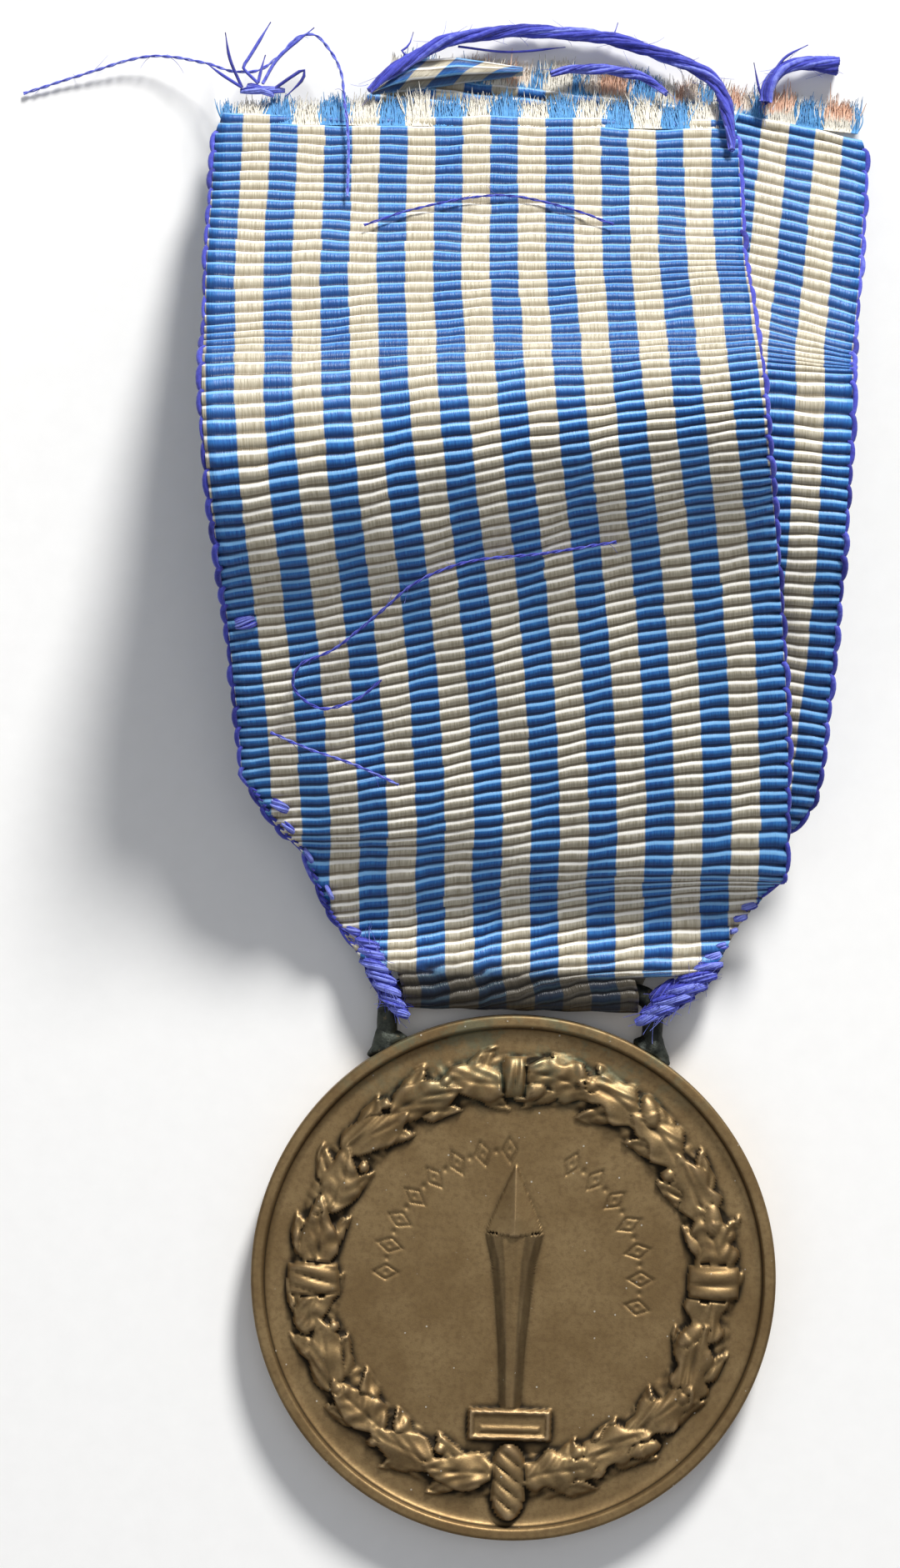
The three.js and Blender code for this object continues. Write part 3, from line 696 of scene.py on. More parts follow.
def cloth_wave(y, z, s):
    """Slight unevenness of worn cloth, and the front's last dip before the bar."""
    wave = 0.1 * np.sin(s * 0.31 + y * 0.13) * np.sin(y * 0.21 + 1.0)
    wave += 0.05 * np.sin(s * 0.8 + y * 0.5)
    wave = wave * np.clip((y - 24) / 10, 0, 1) * np.clip(z / 3, 0, 1)
    upper = np.clip((z - 1.4) / 0.6, 0, 1)
    dip = 0.22 * np.exp(-((y - 21.4) / 0.9) ** 2) - 0.22 * np.exp(-((y - 25.4) / 1.8) ** 2)
    return wave + dip * upper


def edge_faces(rows, columns, shift):
    """The cloth's thickness, along both edges and both cut ends."""
    faces = []
    for r in range(rows - 1):
        a, b = r * columns, (r + 1) * columns
        faces.append([a, b, b + shift, a + shift])
        a, b = a + columns - 1, b + columns - 1
        faces.append([b, a, a + shift, b + shift])
    for c in range(columns - 1):
        faces.append([c + 1, c, c + shift, c + 1 + shift])
        a = (rows - 1) * columns + c
        faces.append([a, a + 1, a + 1 + shift, a + shift])
    return faces


class Ply:
    """Places on a ply, by distance across and along it."""

    def __init__(self, line, widths):
        self.line, self.widths = line, widths

    def at(self, s, l, lift=0.0):
        here = self.line.at(np.array([l - 0.05, l, l + 0.05]).clip(0, self.line.length))
        along = unit(here[2] - here[0])
        side = unit(np.array([along[1], -along[0], 0]))
        return here[1] + side * s + np.cross(side, along) * lift

    def edge(self, side, y):
        return side * float(width_at(self.widths, y, 1 if side < 0 else 2))


FRONT_PLY, BACK_PLY = Ply(front, FRONT_WIDTHS), Ply(back, BACK_WIDTHS)


def selvedge(name, node, ply, side, low_y, high_y, material):
    """The weft turning back at the ribbon's edge: one small loop for every two cords."""
    batch = Batch()
    start, end = ply.line.where_y(low_y), ply.line.where_y(high_y)
    step = 2 * RIB_PITCH * 0.97
    for i in range(int((end - start) / step)):
        l = start + i * step
        angle = np.linspace(-0.5 * math.pi, 0.5 * math.pi, 9)
        size = RNG.uniform(0.75, 1.15) * np.interp(ply.line.at(l)[1], [20, 34], [0.55, 1])
        path = []
        for a in angle:
            here = l + step * 0.5 * math.sin(a) * 1.05
            edge = ply.edge(side, float(ply.line.at(here)[1]))
            path.append(ply.at(edge + side * (0.32 * size * math.cos(a) - 0.14), here,
                               0.07 * math.cos(a) + 0.05 * math.sin(2 * a)))
        batch.tube(path, 0.2 * size, 7, shade=RNG.uniform(0.0, 0.7))
    loops = batch.build(name, material, "ribbon")
    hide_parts(node)


# ---------------------------------------------------------------- frayed ends

def stripe_shade(s):
    """1 on a cream stripe and 0 on a blue one."""
    return float(abs(((s / (2 * STRIPE) + 0.5) % 1) - 0.5) < 0.25)


def no_salmon(_):
    return 0.0


def back_salmon(s):
    """Where the back's warp ends have faded to salmon."""
    spots = ((-9.5, 0.9), (-6.6, 1.0), (-0.6, 1.6), (5.1, 0.9), (8.7, 0.9), (11.3, 1.0),
             (15.5, 1.2))
    heat = max(math.exp(-((s - at) / wide) ** 2) for at, wide in spots)
    return heat * (0.45 + 0.55 * stripe_shade(s)) if heat > 0.4 else 0.0


def fringe(name, node, ply, start_y, reach, count, material, salmon):
    """Tufts of loose warp past the last cord of a cut end."""
    batch = Batch()
    start = ply.line.where_y(start_y)
    left, right = ply.edge(-1, start_y), ply.edge(1, start_y)
    for _ in range(count):
        s = RNG.uniform(left + 0.15, right - 0.15)
        tuft_at = math.floor(s / STRIPE + 0.5)
        middle_of_tuft = tuft_at * STRIPE
        s += 0.22 * (s - middle_of_tuft) * RNG.uniform(-1, 1)
        clump = 0.5 * math.cos((s - middle_of_tuft) / STRIPE * 2.6) + 0.3 * math.sin(tuft_at * 2.4)
        length = reach * (0.72 + 0.3 * clump + RNG.normal(0, 0.14)) * np.interp(
            s, [-18, -10, -4], [0.7, 0.85, 1])
        t = np.linspace(0, 1, 7)
        drift, curl = RNG.normal(0, 0.35), RNG.normal(0, 0.4)
        lift = RNG.uniform(-0.12, 0.26)
        path = np.array([
            ply.at(s + drift * a * length * 0.4 + curl * math.sin(a * 3) * 0.3,
                   start + max(length, 0.4) * a - 0.3, lift * (0.4 + a) + 0.08 * math.sin(a * 5))
            for a in t])
        path[:, 2] = np.maximum(path[:, 2], 0.07)
        shade = stripe_shade(s)
        hot = salmon(s)
        if hot > 0:
            tint = np.clip(np.linspace(shade, shade + 2.5 * hot, 7), shade, 2.0)
            tint = np.where(t > 0.35, np.maximum(tint, 1 + hot * 0.8), shade)
        else:
            tint = np.full(7, shade)
        batch.tube(path, 0.048 * np.array([1, 1, 1, 0.9, 0.8, 0.6, 0.35]), 4, shade=tint)
    made = batch.build(name, material, "ribbon")
    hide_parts(node)


# ---------------------------------------------------------------- loose yarn

def over_front(x, y):
    """Height of the front ply's middle surface at a point of the plan."""
    l = front.where_y(y)
    for _ in range(6):
        here = front.at(np.array([max(l - 0.05, 0), l, l + 0.05]))
        along = unit((here[2] - here[0])[:2])
        off = (x - here[1][0]) * along[0] + (y - here[1][1]) * along[1]
        l = front.where_y(here[1][1] + off * along[1])
    return float(front.at(l)[2])


def on_front(route):
    """A thin strand's route, lifted clear of the cords that it lies on."""
    clear = 0.7 + THIN_STRAND / 2
    return [(x, y, over_front(x, y) + clear) for x, y in route]


def yarn_piece(name, node, points, radius, plies, pitch, material, threads, hairs,
               splay=0.0, taper=0.0, strays=(), stray_radius=0.1):
    line = Line(points)
    batch = Batch()
    twisted(batch, line, radius, plies, pitch, threads, splay, taper)
    strands(batch, strays, stray_radius)
    piece = batch.build(name, material, "ribbon")
    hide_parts(node)
    stray = Batch()
    fuzz(stray, line, radius, hairs)
    hair = stray.build(name + "_fuzz", material, "ribbon")
    return piece, line


def declare_cord(line):
    path = place(line.at(np.linspace(0, line.length, 60)))


def strands(batch, routes, radius):
    """Single loose threads, thinner towards their far ends."""
    for route in routes:
        line = Line(route, 10)
        l = np.linspace(0, line.length, max(6, int(line.length / 0.35)))
        taper = np.clip((line.length - l) / 1.5, 0.35, 1)
        batch.tube(line.at(l), radius * taper, 4, shade=RNG.uniform(0, 0.8))


def bundle(batch, a, b, width, height, count, tone):
    """A short thick stitch of many fibres, its ends drawn down; painted light makes it paler on top
    and darker underneath.
    """
    a, b = np.array(a, float), np.array(b, float)
    side = unit(np.cross(unit(b - a), [0, 0, 1.0]))
    t = np.linspace(-0.04, 1.04, 9)
    end = np.abs(2 * t - 1) ** 4
    for _ in range(count):
        angle, r = RNG.uniform(0, 2 * math.pi), math.sqrt(RNG.uniform(0.1, 1))
        twist = angle + (t - 0.5) * 1.3 + RNG.normal(0, 0.1)
        off_side = np.cos(twist) * r * width * (1 - 0.3 * end)
        off_up = np.sin(twist) * r * height * (1 - 0.3 * end)
        path = a + (b - a) * t[:, None] + side * off_side[:, None]
        path[:, 2] += off_up - 0.3 * end
        # Painted highlight and shade: fibres on top of the stitch are paler, those underneath
        # darker.
        shade = np.clip(tone + 0.75 * r * math.sin(angle) + RNG.normal(0, 0.15), 0, 1)
        batch.tube(path, 0.08 * (1 - 0.25 * end), 5, shade=shade)


def left_tuft(material):
    """Pulled weft bunched at the front's top left corner."""
    batch = Batch()
    for ends in TUFT_BUNCHES:
        bundle(batch, *ends, 0.22, 0.2, 16, 0.5)
    strands(batch, TUFT_STRANDS, 0.12)
    piece = batch.build("left_tuft", material, "ribbon")
    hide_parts("left_yarn_tuft")


def corner_bundles(name, node, bed, stitches, tacks, edging, material):
    """Thick stitches over a corner, on a bed of thread painted dark as shade, and small tacks up
    its edge.
    """
    batch = Batch()
    # Painted shade: the bed's fibres get the darkest tones, showing as shade in the gaps between
    # the stitches.
    for start, end, width in bed:
        bundle(batch, start, end, width, 0.4, 60, -0.2)
    for x, y, z, dx, dy, width in stitches:
        bundle(batch, (x - dx, y - dy, z - 0.1), (x + dx, y + dy, z + 0.05), width, 0.36, 46, 0.3)
    fuzz(batch, Line([stitch[:3] for stitch in stitches]), 0.6, 110, 0.03, 1.3)
    for x, y, dx, dy, width in tacks:
        z = over_front(x, y) + 0.3
        bundle(batch, (x - dx, y - dy, z), (x + dx, y + dy, z), width, 0.2, 18, 0.6)
    side, low, high, step, thick = edging
    for l in np.arange(front.where_y(low), front.where_y(high), step):
        edge = FRONT_PLY.edge(side, float(front.at(l)[1])) - side * 0.1
        turn = [FRONT_PLY.at(edge + side * d, l + f, h) for d, f, h in (
            (-0.35, -0.3, 0.22), (0.02, -0.05, 0.12), (0.08, 0.1, -0.05), (-0.15, 0.35, -0.2))]
        batch.tube(turn, thick * RNG.uniform(0.6, 1.3), 5, shade=RNG.uniform(0, 0.5))
    piece = batch.build(name, material)
    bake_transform(piece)
    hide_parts(node)


# ---------------------------------------------------------------- medal disc

class Relief:
    """Height of the disc's face over its field, drawn piece by piece on a set of points."""

    def __init__(self, x, y):
        self.x, self.y = x, y
        self.h = np.zeros_like(x)

    def local(self, cx, cy, turn, reach):
        near = np.flatnonzero((np.abs(self.x - cx) < reach) & (np.abs(self.y - cy) < reach))
        dx, dy = self.x[near] - cx, self.y[near] - cy
        c, s = math.cos(turn), math.sin(turn)
        return near, dx * c + dy * s, -dx * s + dy * c

    def lay(self, near, inside, height):
        """Later pieces cover what they lie on, and leave a dark line round themselves."""
        picked = near[inside]
        self.h[picked] = height[inside]

    def leaf(self, cx, cy, turn, length, width, lift, seed, lobed=False):
        near, a, b = self.local(cx, cy, turn, length * 0.8)
        t = np.clip(a / length + 0.5, 0, 1)
        outline = width * np.sin(math.pi * t ** 0.75) ** (0.6 if lobed else 0.85)
        notch, notches = (0.24, 15) if lobed else (0.1, 10)
        outline = outline * (1 + notch * np.sin(t * notches + seed))
        bend = 0.24 * width * np.sin(t * 4 + seed)
        across = (b - bend) / np.maximum(outline, 1e-3)
        off = np.abs(across)
        inside = (np.abs(a) < length / 2) & (off < 1)
        dome = (1 - np.minimum(off, 1) ** 3) ** 0.5
        vein = 0.09 * np.exp(-((b - bend) / 0.16) ** 2) * (t < 0.85)
        c, s = math.cos(seed * 2.4), math.sin(seed * 2.4)
        swell = 0.07 * np.sin(1.9 * (a * c + b * s) + seed)
        swell += 0.06 * np.sin(3.9 * (b * c - a * s) + 2 * seed)
        swell += 0.045 * np.sin(6.3 * (a * s + b * c) + 2.2 * np.sin(b * 2.7 + seed))
        tilt = 0.12 * across * math.sin(seed * 3) + 0.18 * (t - 0.4)
        r = np.hypot(self.x[near], self.y[near])
        height = ring_dome(r) + lift + 0.2 * dome - vein + swell + tilt
        self.lay(near, inside, np.maximum(height, 0.06))

    def berry(self, cx, cy, radius, base):
        near, a, b = self.local(cx, cy, 0, radius * 1.1)
        r2 = (a * a + b * b) / radius ** 2
        inside = r2 < 1
        here = ring_dome(np.hypot(self.x[near], self.y[near]))
        self.lay(near, inside, here + base + radius * 0.8 * np.sqrt(np.clip(1 - r2, 0, 1)))

    def acorn(self, cx, cy, turn, base):
        near, a, b = self.local(cx, cy, turn, 1.6)
        r = np.sqrt((a / 1.15) ** 2 + (b / 0.62) ** 2)
        inside = r < 1
        nut = base + ring_dome(np.hypot(self.x[near], self.y[near]))
        nut = nut + 0.42 * np.sqrt(np.clip(1 - r ** 2, 0, 1))
        cup = a < -0.15
        nut = nut + np.where(cup, 0.14 + 0.04 * np.sin(a * 22) * np.sin(b * 22), 0)
        self.lay(near, inside, nut)

    def tie(self, angle, width, slant, reach=1.75):
        """A ribbon bound round the wreath in overlapping turns."""
        cx, cy = WREATH_R * math.cos(angle), WREATH_R * math.sin(angle)
        near, a, b = self.local(cx, cy, angle, 2.6)
        bound = width * (1.12 - 0.2 * (a / reach) ** 2)
        inside = (np.abs(a) < reach) & (np.abs(b) < bound)
        round_over = np.sqrt(np.clip(1 - (a / (reach + 0.05)) ** 2, 0, 1))
        turns = np.abs(np.sin((b + a * slant + width) * math.pi / (width * 0.9))) ** 0.7
        fade = np.clip((bound - np.abs(b)) / 0.3, 0, 1) ** 0.5
        self.lay(near, inside, 0.1 + (0.55 + 0.28 * turns) * round_over * fade)


def ring_dome(r):
    """The wreath's body: a low round bank under its leaves."""
    return 0.42 * np.sqrt(np.clip(1 - ((r - WREATH_R) / 1.8) ** 2, 0, 1))


def wreath(relief):
    """Laurel up the left, oak up the right, from the foot to the top tie."""
    rng = np.random.default_rng(7)
    edge = np.hypot(relief.x, relief.y) + 0.12 * np.sin(np.arctan2(relief.y, relief.x) * 29)
    lumps = (0.08 * np.sin(relief.x * 5.1 + 2 * np.sin(relief.y * 2.3))
             * np.sin(relief.y * 4.7 + relief.x))
    bank = ring_dome(edge)
    relief.h = np.maximum(relief.h, (bank - 0.22) * 1.6 + lumps * (bank > 0.2))
    count = 10
    for side in (-1, 1):
        def spot(step, off):
            climb = math.radians(-83 + step * 172 / count)
            angle = climb if side > 0 else math.pi - climb
            r = WREATH_R + off
            return r * math.cos(angle), r * math.sin(angle), angle

        for i in reversed(range(count)):
            for off in (-1.05, 1.1):
                cx, cy, angle = spot(i + 0.55 + rng.normal(0, 0.12), off)
                flick = side * math.copysign(rng.uniform(0.4, 0.75), off)
                turn = angle + side * math.pi / 2 - flick
                relief.leaf(cx, cy, turn, 3.4 * rng.uniform(0.85, 1.15), 0.72, -0.02,
                            rng.uniform(0, 6))
            cx, cy, angle = spot(i + 0.45, rng.normal(0, 0.1))
            turn = angle + side * math.pi / 2 + rng.normal(0, 0.12)
            relief.leaf(cx, cy, turn, 5.2 * rng.uniform(0.94, 1.06), 1.3, 0.1, rng.uniform(0, 6),
                        lobed=side > 0)
            cx, cy, angle = spot(i + 0.86, (-1.0, 1.05, 0.5)[i % 3])
            if side < 0:
                relief.berry(cx, cy, 0.38, 0.12)
            elif i % 2:
                relief.acorn(cx, cy, angle + math.pi / 2 + rng.normal(0, 0.5), 0.05)
            else:
                relief.berry(cx, cy, 0.5, 0.02)


def band(value, low, high, edge=0.08):
    """1 between low and high, with soft edges."""
    rise = np.clip((value - low) / edge, 0, 1)
    fall = np.clip((high - value) / edge, 0, 1)
    return rise * rise * (3 - 2 * rise) * fall * fall * (3 - 2 * fall)


def sword(relief):
    """An upright sword: blade, pointed head, guard plate and roped grip."""
    x, y = relief.x, relief.y
    foot, neck, tip = -9.3, 3.0, 7.8
    taper = np.interp(y, [-9, -5, -2.7, -0.5, 1, 3], [0.73, 0.9, 1.1, 1.3, 1.5, 2.0])
    blade = (np.abs(x) < taper) & (y > foot) & (y < neck)
    bevel = np.clip((taper - np.abs(x)) / 0.5, 0, 1)
    relief.h = np.where(blade, 0.06 + 0.3 * bevel + 0.08 * (1 - np.abs(x) / taper), relief.h)
    # The blade is painted darker, less so along its middle facet, with faint streaks.
    facet = np.clip((0.42 * taper - np.abs(x + 0.05)) / 0.12, 0, 1)
    streak = 0.05 * np.sin(x * 13 + 0.4 * np.sin(y * 2.1)) * np.sin(y * 0.9 + x * 2)
    relief.tarnish = np.where(blade, 0.5 - 0.24 * facet + streak, 0.0)
    head = np.clip((tip - y) / (tip - 3.05), 0, 1) * 1.98
    shoulder = neck - 0.14 * np.cos(np.clip(x, -1.9, 1.9) * 1.6)
    inside = (np.abs(x) < head) & (y >= shoulder) & (y < tip)
    ridge = 0.12 + 0.66 * (1 - np.abs(x) / np.maximum(head, 1e-3)) * np.clip((8.2 - y) / 4.2, 0, 1)
    relief.h = np.where(inside, ridge, relief.h)
    edge = np.minimum(2.9 - np.abs(x), 1.13 - np.abs(y + 10.1))
    guard = edge > 0
    plate = 0.6 - 0.24 * band(edge, 0.34, 3.0, 0.16)
    bar = np.minimum(2.15 - np.abs(x), 0.26 - np.abs(y + 10.38))
    plate = (plate + 0.14 * np.clip(bar / 0.16, 0, 1)) * np.clip(edge / 0.16, 0, 1)
    relief.h = np.where(guard, np.maximum(plate, 0.05), relief.h)
    grip_y = (y + 14.0) / 2.6
    wide = 1.15 * np.sqrt(np.clip(1 - np.clip(np.abs(grip_y) - 0.35, 0, 1) ** 2 / 0.45, 0, 1))
    grip = (np.abs(x) < wide) & (np.abs(grip_y) < 1)
    round_grip = np.sqrt(np.clip(1 - (x / np.maximum(wide, 1e-3)) ** 2, 0, 1))
    rope = np.abs(np.sin((y + x * 0.8) * math.pi / 1.12))
    relief.h = np.where(grip, 0.3 + 0.6 * round_grip * (0.45 + 0.55 * rope ** 0.5), relief.h)
    relief.tarnish = np.where(inside | guard | grip, 0, relief.tarnish)


def arc_ornament(relief):
    """A generic engraved border, of lozenges and dots, in two arcs over the sword."""
    radius, arc_ends = 8.75, (7, 14)
    marks = [179 - i * 12.3 for i in range(8)] + [64 - i * 12.7 for i in range(7)]
    for i, degrees in enumerate(marks):
        a = math.radians(degrees)
        near, u, v = relief.local(radius * math.cos(a), radius * math.sin(a), a, 1.4)
        lozenge = np.abs(u) / 0.85 + np.abs(v) / 0.5
        cut = np.exp(-((lozenge - 1) / 0.15) ** 2) * 0.13
        cut += 0.1 * np.exp(-(u * u + v * v) / 0.02)
        relief.h[near] -= cut
        if i not in arc_ends:
            dot = a - math.radians(6.3)
            near, u, v = relief.local(radius * math.cos(dot), radius * math.sin(dot), a, 0.5)
            relief.h[near] -= 0.13 * np.exp(-(u * u + v * v) / 0.03)


def draw_relief(x, y):
    relief = Relief(x, y)
    wreath(relief)
    relief.tie(math.pi + 0.03, 1.1, 0.3)
    relief.tie(0.0, 1.2, 0.0)
    relief.tie(math.pi / 2 + 0.02, 0.8, 0.1, 1.4)
    sword(relief)
    arc_ornament(relief)
    return relief


def face_height(x, y, relief):
    """Height of the disc's face at points x, y."""
    r = np.hypot(x, y)
    lip = 1 / (1 + np.exp(-(r - 17.16) / 0.035))
    rise = 0.2 * np.clip((r - 16.5) / 0.6, 0, 1) ** 2
    z = FIELD_Z + (relief.h + rise) * (1 - lip) + (DISC_TOP - FIELD_Z) * lip
    outer = np.clip((r - 17.8) / 0.2, 0, 1)
    return z - 0.2 * (1 - np.sqrt(np.clip(1 - outer ** 2, 0, 1)))


def blurred(table, size):
    for axis in (0, 1):
        total = np.cumsum(np.pad(table, [(size + 1, size) if i == axis else (0, 0)
                                         for i in (0, 1)], mode="edge"), axis=axis)
        count = table.shape[axis]
        high = np.take(total, np.arange(count) + 2 * size + 1, axis=axis)
        low = np.take(total, np.arange(count), axis=axis)
        table = (high - low) / (2 * size + 1)
    return table


def cavity_and_wear(x, y, relief):
    """How sunk or how proud each point is among what lies round it."""
    steps = 400
    axis = np.linspace(-DISC_RADIUS, DISC_RADIUS, steps)
    gx, gy = np.meshgrid(axis, axis, indexing="ij")
    table = draw_relief(gx.ravel(), gy.ravel()).h.reshape(steps, steps)
    near = blurred(blurred(table, 4), 4)
    wide = blurred(blurred(table, 12), 10)
    i, j = ((v + DISC_RADIUS) / (2 * DISC_RADIUS) * (steps - 1) for v in (x, y))
    i, j = i.clip(0, steps - 2), j.clip(0, steps - 2)
    i0, j0 = i.astype(int), j.astype(int)
    fi, fj = i - i0, j - j0

    def pick(t):
        return ((t[i0, j0] * (1 - fi) + t[i0 + 1, j0] * fi) * (1 - fj)
                + (t[i0, j0 + 1] * (1 - fi) + t[i0 + 1, j0 + 1] * fi) * fj)

    depth = (pick(near) - relief.h) * 4.6 + (pick(wide) - relief.h) * 0.6
    depth += 0.16 * (relief.h > 0.05) * (np.abs(np.hypot(x, y) - WREATH_R) < 2.4)
    r = np.hypot(x, y)
    # Painted shade: a thin dark line at the rim's inner step, and a darker outer edge.
    step = 0.75 * np.exp(-((r - 17.1) / 0.08) ** 2) + 0.35 * np.clip((r - 17.75) / 0.1, 0, 1)
    return (np.clip(np.maximum(depth - 0.1, relief.tarnish) + step, 0, 1),
            np.clip(-depth * 0.6 - 0.12, 0, 1))


def build_disc(material):
    turns = 570
    radii = np.concatenate([
        np.linspace(0.12, 11.6, 96)[:-1], np.linspace(11.6, 17.72, 60),
        17.8 + 0.2 * np.sin(np.linspace(0.1, math.pi / 2, 6))])
    angle = np.arange(turns) / turns * 2 * math.pi
    x = (radii[:, None] * np.cos(angle)).ravel()
    y = (radii[:, None] * np.sin(angle)).ravel()
    relief = draw_relief(x, y)
    z = face_height(x, y, relief)
    cavity, worn = cavity_and_wear(x, y, relief)
    face = np.stack([x, y, z], -1)
    # The edge and the back: a rounded edge, a flat rim and a sunk field with a raised ring.
    profile = [(18, 2.2), (18.01, 1.4), (18, 0.6), (17.93, 0.22), (17.75, 0.03), (17.6, 0),
               (16.4, 0), (16.28, 0.05), (16.15, 0.3), (16, 0.35), (13.4, 0.35), (13.3, 0.28),
               (13.1, 0.28), (13, 0.35), (9, 0.36), (5, 0.36), (0.2, 0.36)]
    rings = [np.stack([r * np.cos(angle), r * np.sin(angle), np.full(turns, h)], -1)
             for r, h in profile]
    points = np.vstack([face, *rings, [[0, 0, face[0, 2]]], [[0, 0, 0.36]]])
    rows = len(radii) + len(profile)
    faces = grid_faces(rows, turns, wrap=True)[:, ::-1].tolist()
    top, bottom = rows * turns, rows * turns + 1
    last = (rows - 1) * turns
    for i in range(turns):
        n = (i + 1) % turns
        faces.append([i, n, top])
        faces.append([last + n, last + i, bottom])
    rest = len(points) - len(face)
    disc = new_mesh(
        "bronze_disc", points, faces, material, "medal",
        cavity=np.concatenate([cavity, np.full(rest, 0.12)]),
        worn=np.concatenate([worn, np.full(rest, 0.1)]),
        verdigris=np.clip((points[:, 1] - 11) / 4, 0, 1))
    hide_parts("medal_disc")


def build_loop(material):
    foot = math.sqrt(DISC_RADIUS ** 2 - LOOP_HALF_SPAN ** 2)
    bend, top, x = 1.3, BAR[1], LOOP_HALF_SPAN
    route = [(-x, foot - 0.2, 1.5), (-x, foot + 0.8, 1.5), (-x, top - bend, 1.5),
             (-x + 0.25, top - 0.45, 1.5), (-x + bend, top, 1.5), (-4, top, 1.5), (0, top, 1.5),
             (4, top, 1.5), (x - bend, top, 1.5), (x - 0.25, top - 0.45, 1.5),
             (x, top - bend, 1.5), (x, foot + 0.8, 1.5), (x, foot - 0.2, 1.5)]
    line = Line(route)
    l = np.linspace(0, line.length, 150)
    batch = Batch()
    wobble = 1 + 0.02 * np.sin(l * 1.9) + 0.015 * np.sin(l * 4.1)
    batch.tube(line.at(l), WIRE_RADIUS * wobble, 20)
    loop = batch.build("wire_loop", material, "medal")
    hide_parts("suspension_loop")


def build_solder(name, node, side, material):
    """A lump of solder that has flowed along the disc's edge and up the post."""
    x = side * LOOP_HALF_SPAN
    foot = math.sqrt(DISC_RADIUS ** 2 - x ** 2)
    slope = math.atan2(foot, x) - math.pi / 2
    rows, turns = 26, 44
    lat = np.linspace(0.04, math.pi - 0.04, rows)[:, None]
    lon = np.arange(turns)[None, :] / turns * 2 * math.pi
    ux, uy = np.sin(lat) * np.cos(lon), np.sin(lat) * np.sin(lon)
    uz = np.cos(lat) * np.ones_like(lon)
    lump = 1 + 0.07 * np.sin(ux * 5 + side) * np.sin(uy * 6) + 0.04 * np.sin(uz * 9 + ux * 7)
    climb = 0.95 * np.exp(-((ux + 0.22 * side) / 0.66) ** 2) * np.clip(uy, 0, 1)
    px, py, pz = 1.45 * ux * lump, (0.5 * uy + climb) * lump, 1.0 * uz * lump
    c, s = math.cos(slope), math.sin(slope)
    points = np.stack([x + px * c - py * s, foot + 0.12 + px * s + py * c, 1.4 + pz], -1)
    points = points.reshape(-1, 3)
    points[:, 2] = np.maximum(points[:, 2], 0.12)
    faces = grid_faces(rows, turns, wrap=True)[:, ::-1].tolist()
    faces.append(list(range(turns)))
    faces.append(list(range((rows - 1) * turns, rows * turns))[::-1])
    lump_piece = new_mesh(name, points, faces, material, "medal")
    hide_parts(node)


def corner_fold(name, node, side, top_y, inner_top, inner_bottom, material):
    """The ribbon's lower corner, folded in behind the front ply, its stripes slanting."""
    rows, columns = 60, 14
    start, end = front.where_y(top_y), front.where_y(21.1)
    points, across, along = [], [], []
    for r in range(rows):
        v = r / (rows - 1)
        l = start + (end - start) * v
        outer = abs(FRONT_PLY.edge(side, float(front.at(l)[1]))) - 0.1
        inner = inner_top + (inner_bottom - inner_top) * v
        for c in range(columns):
            reach = inner + (outer - inner) * c / (columns - 1)
            lift = -0.62 + 0.3 * max(0, (c / (columns - 1) - 0.8) / 0.2) ** 2
            points.append(FRONT_PLY.at(side * reach, l, lift))
            # Folded over a line at about 35 degrees, its stripes lie across the edge.
            across.append((17.9 if side < 0 else 15.7) + (outer - reach) * 0.2)
            along.append(60 + reach * 0.94 + l * 0.35)
    # Painted shade: the fold, tucked under the front ply, is darkened a little all over.
    made = new_mesh(name, np.array(points), grid_faces(rows, columns).tolist(), material, "ribbon",
                    across=across, along=along, dirt=np.full(len(points), 0.15))
    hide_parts(node)


def corner_roll(material):
    """The back ply's top left corner, curled forward over itself."""
    columns, rows = 60, 13
    x = np.linspace(-11.8, -1.5, columns)
    low = np.interp(x, [-11.8, -8.5, -5.5, -1.5], [80.85, 81.45, 82.0, 82.6])
    high = np.interp(x, [-11.8, -10.4, -9.1, -6, -1.5], [81.15, 82.6, 83.5, 83.75, 83.2])
    v = np.linspace(0, 1, rows)[:, None]
    y = low + (high - low) * v
    z = 1.15 + 0.75 * np.sin(math.pi * np.clip(v * 1.15, 0, 1))
    z = z + np.interp(x, [-11.8, -8], [1.2, 0])
    z = z + 0.05 * np.sin(v * 22) + 0.05 * np.sin(x * 2.1 + v * 3)
    points = np.stack([x + 0 * v, y, z], -1).reshape(-1, 3)
    across = (x - 2.1 * v + 1.4).ravel()
    along = np.broadcast_to(40 + v * 2.6, y.shape).ravel()
    # Painted shade: darker towards the roll's lower edge.
    dirt = np.clip(0.5 - 0.7 * np.broadcast_to(v, y.shape).ravel(), 0, 1)
    roll = new_mesh("back_corner_roll", points, grid_faces(rows, columns).tolist(), material,
                    "ribbon", across=across, along=along, dirt=dirt)


# ---------------------------------------------------------------- putting it together

make_camera()
make_lights()

cloth, yarn, warp = cloth_material(), yarn_material(), fringe_material()
bronze, patina = bronze_material(), patina_material()

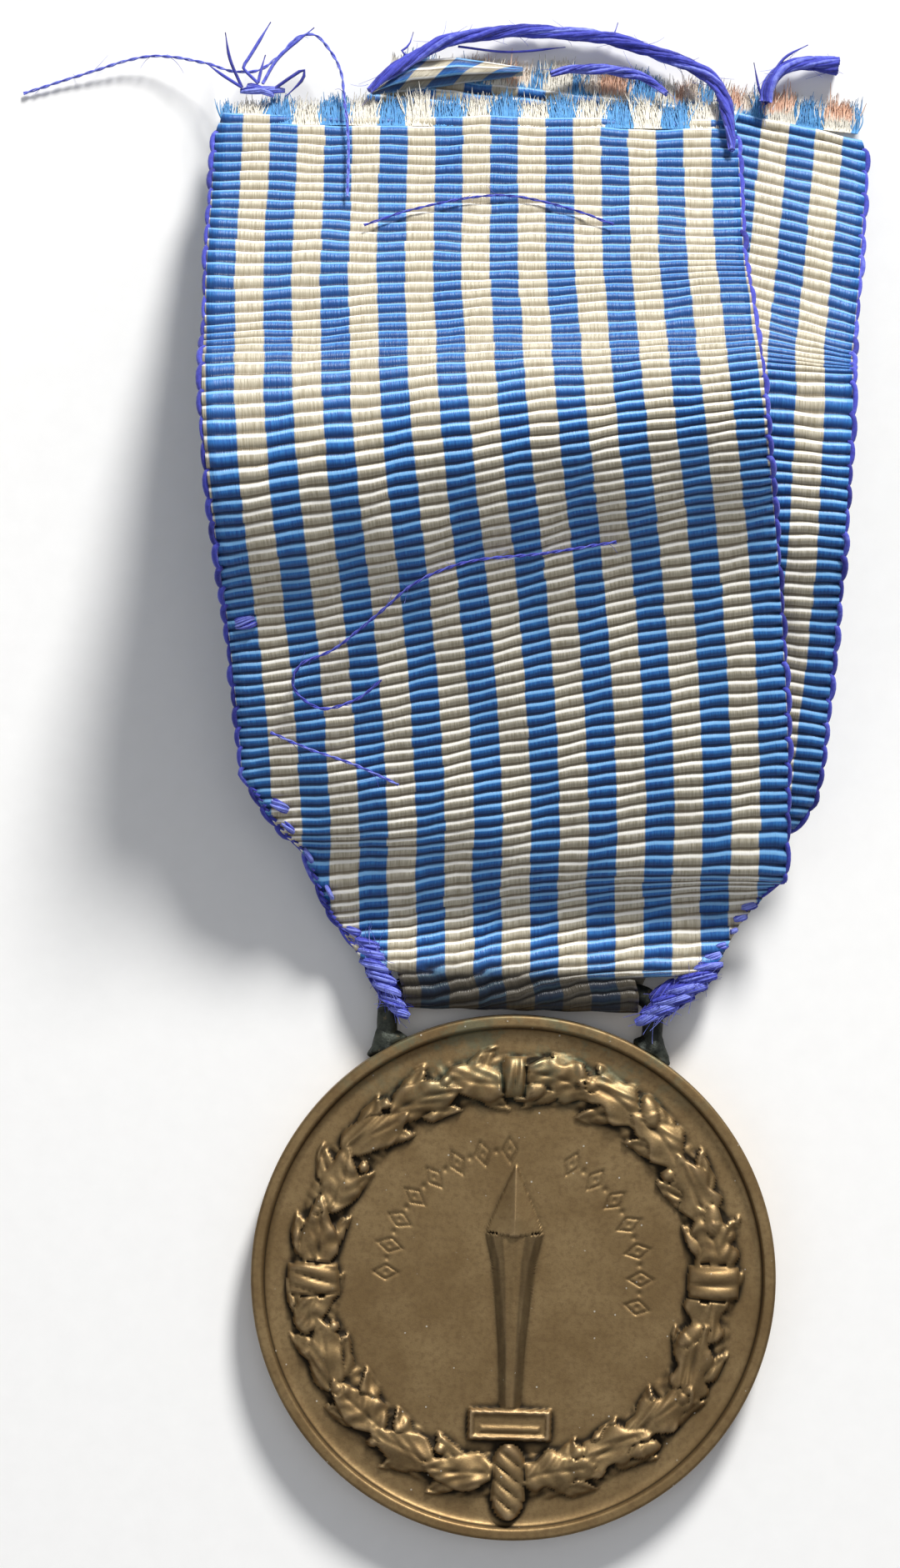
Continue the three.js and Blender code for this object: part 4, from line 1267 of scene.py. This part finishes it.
outer_loop, outer_line = yarn_piece(
    "outer_yarn", "outer_yarn_loop", OUTER_LOOP_ROUTE, 0.5, 4, 13.0, yarn, 5, 70,
    taper=0.5, strays=OUTER_STRAYS, stray_radius=0.09)
declare_cord(outer_line)
long_strand, long_line = yarn_piece(
    "long_strand", "long_loose_strand", LONG_STRAND_ROUTE, 0.115, 2, 1.6, yarn, 1, 10)
declare_cord(long_line)
curl_strand, curl_line = yarn_piece(
    "curl_strand", "front_curl_strand", on_front(CURL_ROUTE), 0.12, 2, 1.6, yarn, 1, 16)
declare_cord(curl_line)
yarn_piece("inner_yarn", "inner_yarn_loop", INNER_LOOP_ROUTE, 0.4, 3, 8.0, yarn, 5, 24, taper=0.4)
yarn_piece("right_tail", "right_yarn_tail", RIGHT_TAIL_ROUTE, 0.5, 5, 12.0, yarn, 5, 34,
           splay=0.5, strays=TAIL_STRAYS)
yarn_piece("arch_strand", "front_arch_strand", on_front(ARCH_ROUTE), 0.1, 2, 1.6, yarn, 1, 8)
yarn_piece("low_strand", "front_low_strand", on_front(LOW_STRAND_ROUTE), 0.11, 2, 1.6, yarn, 1, 8)

ribbon, ribbon_length = build_ribbon(cloth)
selvedge("front_left_edge", "front_left_selvedge", FRONT_PLY, -1, 23.5, 78.8, yarn)
selvedge("front_right_edge", "front_right_selvedge", FRONT_PLY, 1, 26.5, 78.8, yarn)
selvedge("back_left_edge", "back_left_selvedge", BACK_PLY, -1, 33, 79.5, yarn)
selvedge("back_right_edge", "back_right_selvedge", BACK_PLY, 1, 33.2, 81, yarn)
corner_fold("left_fold", "left_corner_fold", -1, 33.8, 16.0, 5.5, cloth)
corner_fold("right_fold", "right_corner_fold", 1, 30.4, 16.0, 8.0, cloth)
corner_roll(cloth)
fringe("front_fringe", "front_top_fringe", FRONT_PLY, 78.9, 2.7, 2700, warp, no_salmon)
fringe("back_fringe", "back_top_fringe", BACK_PLY, 81.0, 2.5, 2300, warp, back_salmon)
left_tuft(yarn)
corner_bundles("right_bundles", "right_corner_stitching", **RIGHT_STITCHING, material=yarn)
corner_bundles("left_bundles", "left_corner_stitching", **LEFT_STITCHING, material=yarn)

build_disc(bronze)
build_loop(patina)
build_solder("left_solder", "left_solder_joint", -1, patina)
build_solder("right_solder", "right_solder_joint", 1, patina)

bpy.ops.mesh.primitive_plane_add(size=2.4, location=(0, 0, -0.00002))
floor = bpy.context.object
floor.name = "floor"
floor.data.materials.append(floor_material())
